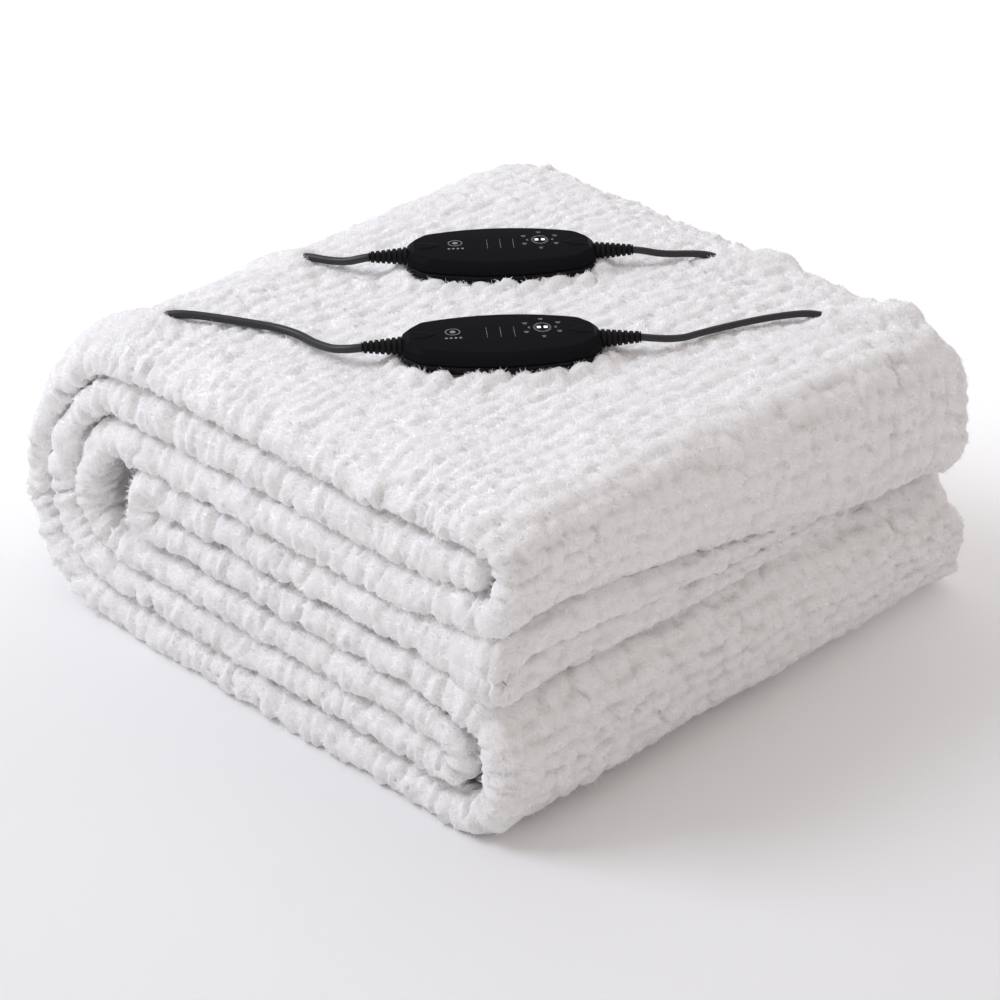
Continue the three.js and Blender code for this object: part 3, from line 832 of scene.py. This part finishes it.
# The whole band: fine near its edges, where the section shows, plain in between
coreLook = {
    "step": 0.0023,
    "startBack": 0.0320,  # how far the core's start lies behind the free end's own skin
    "under": 0.0016, "sink": 0.0034,  # how deep it lies under the skin, by the edges and inside
    "depths": np.array([0, 0.5, 1.5, 3.1, 5.2, 7.6, 10, 12.5, 15, 18, 21.5, 26, 31]) / 1000,
    "plain": np.linspace(-0.160, 0.160, 8),
}


def bothSides(outer, inner):
    # a ring of columns: the band's outer side, then its inner one back to the start
    return np.concatenate([outer, inner[:, ::-1][:, 1:-1]], axis=1)


def coreBand():
    look = coreLook
    y, share, over = acrossBand(look["depths"], look["plain"])
    places = np.linspace(look["startBack"], bandLength, int(bandLength / look["step"]))
    grid = bothSides(bandGrid(places, y, share, 1.0), bandGrid(places, y, share, -1.0))
    normal = gridNormals(grid, closed=True)
    ringY = bothSides(y[None], y[None])[0]
    around = bothSides(over[None], 2 * over[-1] - over[None])
    outside = bothSides(np.ones((1, len(y))), np.zeros((1, len(y))))
    height, dome = tuftHeight(places[:, None], around, inwardShare(ringY)[None, :])
    depth = (halfDepth - np.abs(ringY))[None, :]
    middle = smoothStep(0.016, 0.028, depth)
    height = height * (1 - middle) - look["sink"] * middle
    height = height - look["under"] * outside * smoothStep(0.002, 0.007, depth)
    height = height + creaseFill(places, ringY) * outside + eyeFill(places, outside)
    grid = settleUnderLeads(grid, normal, height, "edge")
    # both ends of the band close in on its middle line
    middleLine = bandGrid(places, y, share * 0.0, 1.0)
    middleLine = bothSides(middleLine, middleLine)
    ends = np.minimum(places - places[0], bandLength - places)
    closing = (0.35 + 0.65 * endShare(ends * 1.2))[:, None, None]
    grid = middleLine + (grid - middleLine) * closing
    grid[..., 2] = np.maximum(grid[..., 2], 0.0)
    return grid, dome, len(y)


def capFaces(first, columns, sideCount, turned):
    # strips across an end ring, from each point to the one on the ring's other side
    k = np.arange(1, sideCount - 2)
    strip = np.stack([k, k + 1, columns - k - 1, columns - k], axis=1)
    tips = np.array([[0, 1, columns - 1], [sideCount - 2, sideCount - 1, sideCount]])
    if turned:
        strip, tips = strip[:, ::-1], tips[:, ::-1]
    return np.concatenate([strip, tips[:, [0, 1, 2, 2]]]) + first


coreGrid, coreDome, sideCount = coreBand()
coreRows, coreColumns = coreGrid.shape[:2]
coreFaces = np.concatenate([
    gridFaces(coreRows, coreColumns, closed=True),
    capFaces(0, coreColumns, sideCount, False),
    capFaces((coreRows - 1) * coreColumns, coreColumns, sideCount, True),
])
coverBand = clothPiece("coverBand", coreGrid, coreFaces, coreDome)
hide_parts("cover")

# The outside of the stack, in fine detail
skinLook = {
    "fine": 0.0024, "plain": 0.0080, "across": 0.0025,  # steps along and across
    "before": 0.050, "after": 0.055,  # how far it goes on past the outer bends
    "edgeDown": 0.0016, "endsDown": 0.0040,  # it dives into the core at its edges and ends
}
skinDepths = np.array([0.0, 0.4, 1.2, 2.4, 4.0, 6.0, 8.2, 10.5]) / 1000


def skinPlaces():
    # fine steps over what can be seen from the sides and above, long ones underneath
    fine = skinLook["fine"]
    right = np.arange(bendEnds["eh"][0] - skinLook["before"], bendEnds["eh"][1], fine)
    under = np.arange(bendEnds["eh"][1], bendEnds["ha"][0] - 0.004, skinLook["plain"])
    above = np.arange(bendEnds["ha"][0], bendEnds["ac"][1] + skinLook["after"], fine)
    return np.concatenate([right, under, above])


def skinAcross():
    step, last = skinLook["across"], skinDepths[-1]
    inner = np.arange(last + step, fold["length"] - last, step)
    return acrossBand(skinDepths, inner - halfDepth)


def skinBand(places):
    y, share, over = skinAcross()
    grid = bandGrid(places, y, share, 1.0)
    normal = gridNormals(grid)
    height, dome = tuftHeight(places[:, None], over[None, :], inwardShare(y)[None, :])
    depth = np.minimum(y + halfDepth, halfDepth - y)[None, :]
    height = height - skinLook["edgeDown"] * (1.0 - smoothStep(0.0005, 0.0050, depth))
    ends = np.minimum(places - places[0], places[-1] - places)[:, None]
    height = height - skinLook["endsDown"] * (1.0 - smoothStep(0.0, 0.012, ends))
    height = height + creaseFill(places, y)
    grid = settleUnderLeads(grid, normal, height, "skin")
    return pressUnder(grid, dome), dome


places = skinPlaces()
skinGrid, skinDome = skinBand(places)
coverSkin = clothPiece("coverSkin", skinGrid, gridFaces(*skinGrid.shape[:2]), skinDome)

# The band's free end between the two tiers of the right-hand face: two plies with a groove
freeEndLook = {
    "reach": 0.045, "step": 0.0024,
    "bulge": 0.0085,  # length of each ply's rounded end
    "drawnBack": (0.0180, 0.0230),  # at the far end, the lower ply and the upper one
    "proud": 0.0020, "dive": 0.0055, "edge": 0.0012,
}


def freeEndSkin():
    # Contour of the end in the section: along one ply's face, round its half circle into the
    # groove, round the other ply's and back. along is measured from the end, lift from the
    # middle line.
    look = freeEndLook
    quarter, bulge = fold["layers"]["d"][1] / 4, look["bulge"]
    flat = np.arange(look["reach"], bulge, -look["step"])
    turn = np.linspace(0.0, np.pi, 12)
    lobeAlong, lobeLift = bulge * (1 - np.sin(turn)), quarter * (1 + np.cos(turn))
    face = np.full(len(flat), 2 * quarter)
    along = np.concatenate([flat, lobeAlong, lobeAlong[::-1][1:], flat[::-1]])
    lift = np.concatenate([face, lobeLift, -lobeLift[::-1][1:], -face])
    y, share, over = skinAcross()
    # toward the far end it draws back, the upper ply more
    way = smoothStep(0.35, 1.0, y / fold["length"] + 0.5)
    back = way[None, :] * np.where(lift > 0, look["drawnBack"][1], look["drawnBack"][0])[:, None]
    back = back * (1.0 - smoothStep(0.012, 0.040, along))[:, None]
    x, z, thick, runX, runZ = bandAt(along[:, None] + back)
    off = -lift[:, None] * share[None, :]
    grid = settle(x - runZ * off, np.broadcast_to(y[None, :], off.shape), z + runX * off)
    normal = gridNormals(grid)
    gone = travelled(np.stack([along, lift], axis=1))
    height, dome = tuftHeight(gone[:, None] * 1.5 + 0.5, over[None, :], inwardShare(y)[None, :])
    dive = look["dive"] * smoothStep(0.030, look["reach"], along)[:, None]
    height = height + look["proud"] - dive
    # both plies come together at the band's edges
    normal[:, 0], normal[:, -1] = (0.0, -1.0, 0.0), (0.0, 1.0, 0.0)
    height[:, 0], height[:, -1] = look["edge"], look["edge"]
    return grid + normal * height[..., None], dome


endGrid, endDome = freeEndSkin()
coverFreeEnd = clothPiece("coverFreeEnd", endGrid, gridFaces(*endGrid.shape[:2]), endDome)

# Pile strands
pileLook = {
    "long": (0.0028, 0.0054), "halfWide": 0.00016, "lean": (0.7, 2.0), "curl": 0.5,
    "clumpWave": 560.0,
    "offFloor": 0.0040, "offControls": 0.0014,
    # for each piece: strands, how far their light follows their lean, relative length
    "pileTop": (60000, 0.25, 1.0),
    "pileSides": (60000, 0.32, 1.0),
    "pileEnds": (60000, 0.50, 1.2),
}
clumpWaves = chance.normal(size=(6, 3)) * pileLook["clumpWave"]
clumpStarts = chance.uniform(0, 6.28, 6)


def scatter(regions, count):
    # random places, evenly by area over several grids of points, each read between its four
    # nearest points. A region is a grid, its normals, its tufts, a row range and a column range.
    cells = []
    for k, (grid, _, _, rowRange, columnRange) in enumerate(regions):
        i, j = np.meshgrid(np.arange(*rowRange), np.arange(*columnRange), indexing="ij")
        i, j = i.ravel(), j.ravel()
        across = grid[i, j + 1] - grid[i, j]
        area = np.linalg.norm(np.cross(grid[i + 1, j] - grid[i, j], across), axis=1)
        cells.append(np.stack([np.full(len(i), k), i, j, area], axis=1))
    cells = np.concatenate(cells)
    share = np.cumsum(cells[:, 3])
    chosen = cells[np.searchsorted(share, chance.random(count) * share[-1])]
    roots, outward, tall = np.zeros((count, 3)), np.zeros((count, 3)), np.zeros(count)
    for k, (grid, normal, dome, *_) in enumerate(regions):
        own = np.where(chosen[:, 0] == k)[0]
        i, j = chosen[own, 1].astype(int), chosen[own, 2].astype(int)
        a, b = chance.random((2, len(own), 1))
        for part, out in ((grid, roots), (normal, outward), (dome[..., None], tall[:, None])):
            near = part[i, j] * (1 - a) + part[i + 1, j] * a
            far = part[i, j + 1] * (1 - a) + part[i + 1, j + 1] * a
            out[own] = near * (1 - b) + far * b
    return roots, unit(outward), tall


def clumpWay(points):
    # a direction that turns slowly from place to place, so that strands lean in clumps
    waves = [np.sin(points @ wave + start) for wave, start in zip(clumpWaves, clumpStarts)]
    return np.stack([waves[k] + waves[k + 3] for k in range(3)], axis=1)


def pileStrands(name, regions):
    # Each strand is a thin strip of three triangles with its broad side outward: it leans over
    # with its clump, and its tip curls on. It is longer on a tuft than in a pit.
    count, tilt, full = pileLook[name]
    roots, outward, tall = scatter(regions, count)
    keep = roots[:, 2] > pileLook["offFloor"]
    for control in controls.values():
        clear = outsideControl(roots, control) > pileLook["offControls"]
        keep &= clear | (roots[:, 2] < pressLook["topOnly"][0])
    roots, outward, tall = roots[keep], outward[keep], tall[keep]
    count = len(roots)
    clump = unit(clumpWay(roots) + chance.normal(size=(count, 3)) * 0.7)
    lean = chance.uniform(*pileLook["lean"], (count, 1))
    aside = unit(clump - outward * (clump * outward).sum(1, keepdims=True))
    ahead = unit(outward + lean * aside)
    long = chance.uniform(*pileLook["long"], (count, 1))
    long = long * (0.6 + 0.4 * np.clip(tall, 0, 1)[:, None]) * full
    curled = unit(clump + chance.normal(size=(count, 3)) - 0.6 * outward)
    facing = outward + 0.25 * chance.normal(size=(count, 3))
    broad = unit(np.cross(ahead, facing)) * pileLook["halfWide"]
    root = roots - outward * 0.0006
    middle = root + ahead * long * 0.6
    tip = middle + unit(ahead + pileLook["curl"] * curled) * long * 0.5
    strip = [root - broad, root + broad, middle + broad * 0.8, middle - broad * 0.8, tip]
    points = np.stack(strip, axis=1).reshape(-1, 3)
    points[:, 2] = np.maximum(points[:, 2], 0.0)
    base = np.arange(count)[:, None] * 5
    mesh = makeMesh(name, points, np.concatenate([base + [0, 1, 2, 3], base + [3, 2, 4, 4]]))
    facing = unit(outward + tilt * ahead + 0.12 * chance.normal(size=(count, 3)))
    addAttribute(mesh, "lie", "FLOAT_VECTOR", np.repeat(facing, 5, axis=0))
    # each strand's tone: a random part, with painted shade darker in the pits and at the root,
    # and painted light at the tip
    toneAndShade = np.clip(0.45 + 0.55 * tall + chance.uniform(-0.12, 0.12, count), 0, 1)
    toneAndShade = [toneAndShade * 0.75, toneAndShade * 0.75, toneAndShade, toneAndShade, np.minimum(toneAndShade * 1.15, 1.0)]
    addAttribute(mesh, "pile", "FLOAT", np.stack(toneAndShade, axis=1))
    print(f"{name}: {3 * count} triangles")
    return addPiece(name, mesh, fleeceStrand)


leftStart = int(np.searchsorted(places, bendEnds["ha"][0]))
topStart = int(np.searchsorted(places, bendEnds["ha"][1] - 0.01))
topStop = int(np.searchsorted(places, bendEnds["ac"][0] + 0.01))
rightStop = int(np.searchsorted(places, bendEnds["eh"][1]))
wide = (1, skinGrid.shape[1] - 2)
skinPart = (skinGrid, gridNormals(skinGrid), skinDome)
endPart = (endGrid, gridNormals(endGrid), endDome)
corePart = (coreGrid, gridNormals(coreGrid, closed=True), coreDome)
ribColumns = [(0, 5), (sideCount - 6, sideCount + 4), (coreColumns - 6, coreColumns - 1)]
pilePieces = [
    pileStrands("pileTop", [(*skinPart, (topStart, topStop), wide)]),
    pileStrands("pileSides", [
        (*skinPart, (6, rightStop), wide), (*skinPart, (leftStart, topStart), wide),
        (*skinPart, (topStop, len(places) - 6), wide), (*endPart, (8, len(endGrid) - 8), wide),
    ]),
    pileStrands("pileEnds", [(*corePart, (2, coreRows - 2), columns) for columns in ribColumns]),
]

# Hand controls
reliefLook = {
    "length": 0.0235, "root": 0.0056, "tip": 0.0033, "gap": 0.0002,
    "ribs": 7, "groove": 0.0011, "grooveFrom": (0.58, 0.70), "grooveTo": (0.88, 1.0),
}
faceLook = {"crownAcross": 0.0011, "crownAlong": 0.0005}
halfSize = np.array([controlBody["length"] / 2, controlBody["width"] / 2])
# Steps of a wall from below: how far it is drawn in, and its height
topWall = [
    (0.0009, 0.0064), (0.0003, 0.0066), (0.0, 0.0071), (0.0001, 0.0092), (0.0005, 0.0108),
    (0.0010, 0.0115), (0.0028, 0.0132), (0.0034, 0.0137),
]
topFace = (0.0042, 0.0050, 0.0075, 0.0110, 0.0160, 0.0210, 0.0250)
baseWall = [
    (0.0028, 0.0), (0.0014, 0.0004), (0.0006, 0.0012), (0.0002, 0.0030), (0.0, 0.0050),
    (0.0002, 0.0057), (0.0007, 0.0060),
]
tongueLook = {
    "edge": [
        (0.0588, 0.0047), (0.0530, 0.0049), (0.0475, 0.0048), (0.0435, 0.0045), (0.0375, 0.0),
        (0.0435, -0.0045), (0.0475, -0.0048), (0.0530, -0.0049), (0.0588, -0.0047),
    ],
    "middle": (0.0480, 0.0),
    "steps": [(0.0, -0.0020), (0.02, 0.0), (0.10, 0.0004), (0.26, 0.0006), (0.60, 0.0006)],
    "slope": 0.0030, "slopeAt": (0.0500, 0.0590),
}


def controlOutline():
    # the barrel-shaped outline, evenly stepped, with its corners eased
    half, side, tip = [controlBody[key] / 2 for key in ("length", "shoulder", "tip")]
    start = half - controlBody["chamfer"]
    u = np.linspace(start, -start, 80)
    v = side + (controlBody["width"] / 2 - side) * (1.0 - (u / start) ** 2)
    line = np.concatenate([
        [[half, 0.0], [half, tip]], np.stack([u, v], 1), [[-half, tip], [-half, -tip]],
        np.stack([-u, -v], 1), [[half, -tip], [half, 0.0]],
    ])
    return easedRing(evenPoints(line, 220, closed=True), 2)


def faceHeight(flat):
    # the crowned face of a control above its underside
    along, across = ((flat / halfSize) ** 2).T[..., None]
    fallen = controlBody["thick"] - faceLook["crownAcross"] * across
    return fallen - faceLook["crownAlong"] * along


def insetLine(line, inset, size, heart=0.0):
    # the outline drawn toward its middle by about the inset
    return heart + (line - heart) * (1.0 - inset / size)


def loopAt(line, height):
    return np.hstack([line, np.full((len(line), 1), height)])


def stackedLoops(loops):
    # a closed solid through loops of equally many points, from the lowest to the highest
    loops = np.array(loops)
    count, total = loops.shape[1], loops.shape[0] * loops.shape[1]
    ring = np.arange(count)
    rim = np.stack([ring, (ring + 1) % count], axis=1)
    low, high = np.full((count, 1), total), np.full((count, 1), total + 1)
    upper = rim + total - count
    faces = [
        gridFaces(len(loops), count, closed=True)[:, ::-1],
        np.hstack([rim[:, ::-1], low, low]), np.hstack([upper, high, high]),
    ]
    middles = [loops[0].mean(axis=0)[None], loops[-1].mean(axis=0)[None]]
    return np.concatenate([loops.reshape(-1, 3), *middles]), np.concatenate(faces)


def solidObject(name, parts, material, smoothAngle=38.0):
    # several closed solids as one piece, with edges sharper than the angle left sharp
    points, faces, start = [], [], 0
    for some, theirs in parts:
        points.append(some)
        faces.append(theirs + start)
        start += len(some)
    mesh = makeMesh(name, np.concatenate(points), np.concatenate(faces))
    mesh.set_sharp_from_angle(angle=np.radians(smoothAngle))
    return addPiece(name, mesh, material)


def placeParts(parts, control):
    # from a control's own frame (ahead, left, up) to the row frame
    place, ahead, left = controlFrame(control)
    placed = []
    for points, faces in parts:
        flat = points[:, :1] * ahead + points[:, 1:2] * left + place
        placed.append((np.hstack([flat, points[:, 2:] + controlBody["seat"]]), faces))
    return placed


def topShell(line):
    # wall, chamfer and crowned face, by loops drawn in step by step
    loops = [loopAt(insetLine(line, inset, halfSize), height) for inset, height in topWall]
    for inset in topFace:
        loop = insetLine(line, inset, halfSize)
        loops.append(np.hstack([loop, faceHeight(loop)]))
    return stackedLoops(loops)


def baseShell(line):
    return stackedLoops([loopAt(insetLine(line, inset, halfSize), height)
                         for inset, height in baseWall])


def tongue(side):
    # the raised tongue over each relief, a blunt arrow on the face that points at the middle
    look = tongueLook
    line = evenPoints(np.array(look["edge"]), 60)
    loops = []
    for share, lift in look["steps"]:
        loop = insetLine(line, share, 1.0, np.array(look["middle"]))
        slope = look["slope"] * smoothStep(*look["slopeAt"], loop[:, :1])
        height = faceHeight(loop) - slope + lift
        loops.append(np.hstack([loop * [side, 1.0], height])[:: int(side)])
    return stackedLoops(np.array(loops)[:, ::-1])


def relief(side):
    # a tapered grip: its radius falls from root to tip, with a groove after each rib
    look = reliefLook
    along = np.linspace(0.0, 1.0, 85)
    radius = look["root"] + (look["tip"] - look["root"]) * along
    beat = (along * look["ribs"]) % 1.0
    groove = smoothStep(*look["grooveFrom"], beat)
    groove = groove * (1.0 - smoothStep(*look["grooveTo"], beat))
    radius = radius - look["groove"] * groove * (along < 0.97)
    radius[0], radius[-1] = radius[1] * 0.9, radius[-2] * 0.82
    angle = np.linspace(0, 2 * np.pi, 40, endpoint=False)
    x = side * (controlBody["length"] / 2 + look["gap"] + along * look["length"])
    ring = np.stack([np.zeros(40), side * np.cos(angle), np.sin(angle)], axis=1)
    loops = ring[None] * radius[:, None, None]
    loops = loops + np.stack([x, 0 * x, 0 * x + controlBody["axisHeight"]], axis=1)[:, None]
    return stackedLoops(loops[:, ::-1])


# Printed marks are plain signs of no language: a ring of ticks round two indicator dots with
# short lines beyond, a round sign of a ring and a disc with four dots below, and three thin
# rules.
# The lists hold offsets ahead and to the left, then length.
markLook = {
    "lights": (0.0243, 0.0045), "indicatorDots": (-0.0020, 0.0020),
    "ticks": {"count": 24, "radii": (0.0047, 0.0058), "long": (0.0016, 0.0012), "wide": 0.0005},
    "lines": [(0, 0.0115, 0.0028), (0, -0.0120, 0.0024), (0.0098, 0.0058, 0.0030),
              (-0.0098, 0.0058, 0.0030), (0.0098, -0.0058, 0.0028), (-0.0098, -0.0058, 0.0028)],
    "slants": [(0.0078, 0.7), (0.0078, -0.7), (-0.0078, 0.7), (-0.0078, -0.7)],
    "sign": (-0.0285, 0.0025),
    "ring": {"count": 26, "radii": (0.0042, 0.0040), "long": 0.0013, "wide": 0.0005},
    "disc": {"count": 10, "long": 0.0034, "wide": 0.0011},
    "dots": {"count": 4, "start": -0.0042, "step": 0.0028, "left": -0.0080},
    "rules": (-0.0087, -0.0006, 0.0075),
}


def bar(u, v, long, wide, turn, lift=0.00006):
    # a thin printed dash on the face
    corner = np.array([(-1, -1), (1, -1), (1, 1), (-1, 1)]) * 0.5 * np.array([long, wide])
    c, s = np.cos(turn), np.sin(turn)
    flat = corner @ np.array([[c, s], [-s, c]]) + np.array([u, v])
    low = np.hstack([flat, faceHeight(flat) - 0.0001])
    return stackedLoops([low, low + [0, 0, 0.0001 + lift]])


def turnsOf(count, whole):
    return whole * np.arange(count) / count


def printedMarks():
    look, (u, v), (signU, signV) = markLook, markLook["lights"], markLook["sign"]
    marks = []
    ticks, ring, disc, dots = [look[key] for key in ("ticks", "ring", "disc", "dots")]
    for k, turn in enumerate(turnsOf(ticks["count"], 2 * np.pi)):
        at = (u + ticks["radii"][0] * np.cos(turn), v + ticks["radii"][1] * np.sin(turn))
        marks.append(bar(*at, ticks["long"][k % 2], ticks["wide"], turn))
    for ahead, left, long in look["lines"]:
        marks.append(bar(u + ahead, v + left + 0.0007, long, 0.0006, 0.0))
        marks.append(bar(u + ahead, v + left - 0.0007, long * 0.7, 0.0006, 0.0))
    for ahead, turn in look["slants"]:
        marks.append(bar(u + ahead, v + 0.0006 * np.sign(turn), 0.0016, 0.0005, turn))
    for turn in turnsOf(ring["count"], 2 * np.pi):
        at = (signU + ring["radii"][0] * np.cos(turn), signV + ring["radii"][1] * np.sin(turn))
        marks.append(bar(*at, ring["long"], ring["wide"], turn + np.pi / 2))
    for turn in turnsOf(disc["count"], np.pi):
        marks.append(bar(signU, signV, disc["long"], disc["wide"], turn))
    for k in range(dots["count"]):
        at = (signU + dots["start"] + dots["step"] * k, signV + dots["left"])
        marks.append(bar(*at, 0.0016, 0.0014, 0.5 * k))
    return marks + [bar(ahead, 0.0, 0.00022, 0.0130, 0.0, 0.00003) for ahead in look["rules"]]


printWhite, _ = cloudyMaterial("printedMarks", (0.27, 0.27, 0.28), (0.42, 0.58), 500.0, {})
# the indicator dots glow with painted light: the control is unplugged and they are no lamps
paintedGlowWhite, _ = cloudyMaterial("controlDotsPaintedGlow", (0.9, 0.9, 0.88), (0.25, 0.4), 700.0, {
    "Emission Color": (1.0, 0.98, 0.93, 1.0), "Emission Strength": 0.8,
})
outline = controlOutline()
shells = {
    "Top": [topShell(outline), tongue(1.0), tongue(-1.0)],
    "Base": [baseShell(outline)],
}
marks = printedMarks()
# the two indicator dots, which carry the painted glow
indicatorDots = [bar(markLook["lights"][0] + ahead, markLook["lights"][1], 0.0022, 0.0024, 0.0, 0.0002)
         for ahead in markLook["indicatorDots"]]
for name, control in controls.items():
    for part, black in (("Top", caseBlack), ("Base", baseBlack)):
        shell = placeParts(shells[part], control)
        shell = solidObject(f"control{part}_{name}", shell, black)
        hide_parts(f"control_{part.lower()}_{name}")
    for end, side in (("mains", -1.0), ("heater", 1.0)):
        grip = placeParts([relief(side)], control)
        grip = solidObject(f"relief_{end}_{name}", grip, reliefBlack, 50.0)
        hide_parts(f"relief_{end}_{name}")
    solidObject(f"controlMarks_{name}", placeParts(marks, control), printWhite)
    solidObject(f"controlDotsPaintedGlow_{name}", placeParts(indicatorDots, control), paintedGlowWhite)
print("hand controls ready")

# Plugs
plugLook = {
    "width": 0.050, "length": 0.046, "corner": 0.009, "nose": 0.022, "shoulder": 0.013,
    "place": (0.019, 0.0676),
    "wall": [
        (0.0035, 0.0003), (0.0014, 0.0006), (0.0004, 0.0016), (0.0, 0.0034), (0.0, 0.0100),
        (0.0005, 0.0104), (0.0005, 0.0109), (0.0, 0.0113), (0.0, 0.0192), (0.0005, 0.0208),
        (0.0016, 0.0217), (0.0034, 0.0220), (0.0100, 0.0220),
    ],
}
pinBrass, _ = cloudyMaterial("pinBrass", (0.62, 0.47, 0.21), (0.22, 0.38), 160.0,
                             {"Metallic": 1.0}, detail=4.0)


def plugOutline():
    # nose, flared shoulders and clipped corners, evenly stepped and eased
    look = plugLook
    half, nose, high = look["width"] / 2, look["nose"] / 2, look["length"]
    edge, corner = half - look["corner"], high - look["corner"]
    right = [(0.0, 0.0), (nose, 0.0), (half, look["shoulder"]), (half, corner), (edge, high),
             (0.0, high)]
    shape = np.array(right + [(-x, y) for x, y in right[::-1][1:]])
    return easedRing(evenPoints(shape, 120, closed=True), 4)


def plugBody(middle):
    line = plugOutline()
    heart = np.array([0.0, plugLook["length"] / 2])
    size = np.array([plugLook["width"] / 2, plugLook["length"] / 2])
    points, faces = stackedLoops([loopAt(insetLine(line, inset, size, heart), height)
                                  for inset, height in plugLook["wall"]])
    return points + [*plugLook["place"], 0.0] + middle, faces


for name, middle in coilMiddles.items():
    body = plugBody(np.array(middle) - centre)
    shell = solidObject(f"plugBody_{name}", [body], plugBlack)
    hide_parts(f"plug_{name}")
    pins = [bpy.data.objects[f"pin_{pin}_{name}"] for pin in ("live", "neutral", "earth")]
    for pin in pins:
        pin.data.materials.clear()
        pin.data.materials.append(pinBrass)
print("plugs ready")

# Floor and light
lightSettings = {
    "key": {"place": (-1.7, -1.5, 2.5), "size": 1.5, "power": 48.0, "colour": (0.84, 0.89, 1.0)},
    "top": {"place": (-0.5, 0.9, 2.6), "size": 2.2, "power": 9.0, "colour": (0.84, 0.89, 1.0)},
    "aim": (0.0, 0.0, 0.1),
    "room": 0.60,
    "roomColour": (1.0, 0.945, 0.905),
}
floorLook = {
    "colour": (0.885, 0.885, 0.89),
    "halfSide": 6.0,
    "glow": 0.36,
    "backWay": (-0.706, 0.708, 0.0),
    "backGlow": (-0.25, 0.55),  # how far back the glow starts and is full
    "roundGlow": (0.55, 1.60),  # and how far out on every side
}
# colour of the floor's painted glow, which it gives off though it is no lamp
floorPaintedGlow = {"Emission Color": (1.0, 1.0, 1.0, 1.0)}
floorMaterial, floorShader = cloudyMaterial(
    "paleFloor", floorLook["colour"], (0.45, 0.55), 3.0, floorPaintedGlow)


def floorGlow(distance, reach):
    values = {"From Min": reach[0], "From Max": reach[1], "To Max": floorLook["glow"]}
    fade = addNode(floorMaterial, "MapRange", {"Value": distance, **values},
                   interpolation_type="SMOOTHSTEP")
    return fade.outputs["Result"]


# Painted glow: the floor's own emission rises toward the back of the studio and far off on every
# side
floorPlace = objectPlace(floorMaterial)
floorBack = addNode(floorMaterial, "VectorMath", {0: floorPlace, 1: floorLook["backWay"]},
                    operation="DOT_PRODUCT")
floorFar = addNode(floorMaterial, "VectorMath", {0: floorPlace}, operation="LENGTH")
floorMost = addNode(floorMaterial, "Math", {
    0: floorGlow(floorBack.outputs["Value"], floorLook["backGlow"]),
    1: floorGlow(floorFar.outputs["Value"], floorLook["roundGlow"]),
}, operation="MAXIMUM")
wire(floorMaterial, floorShader, {"Emission Strength": floorMost.outputs["Value"]})
floorPoints = np.array([(-1, -1, 0), (1, -1, 0), (1, 1, 0), (-1, 1, 0)]) * floorLook["halfSide"]
floorMesh = makeMesh("floor", floorPoints, np.array([[0, 1, 2, 3]]), smooth=False)
floorMesh.materials.append(floorMaterial)
addObject("floor", floorMesh)

for name in ("key", "top"):
    values = lightSettings[name]
    lampData = bpy.data.lights.new(name, "AREA")
    lampData.size = values["size"]
    lampData.energy = values["power"]
    lampData.color = values["colour"]
    lamp = addObject(name, lampData)
    lamp.location = values["place"]
    lookAlong(lamp, Vector(lightSettings["aim"]) - lamp.location)
world = bpy.data.worlds.new("paleRoom")
scene.world = world
world.use_nodes = True
background = world.node_tree.nodes["Background"]
background.inputs["Color"].default_value = (*lightSettings["roomColour"], 1.0)
background.inputs["Strength"].default_value = lightSettings["room"]
print("stage ready")
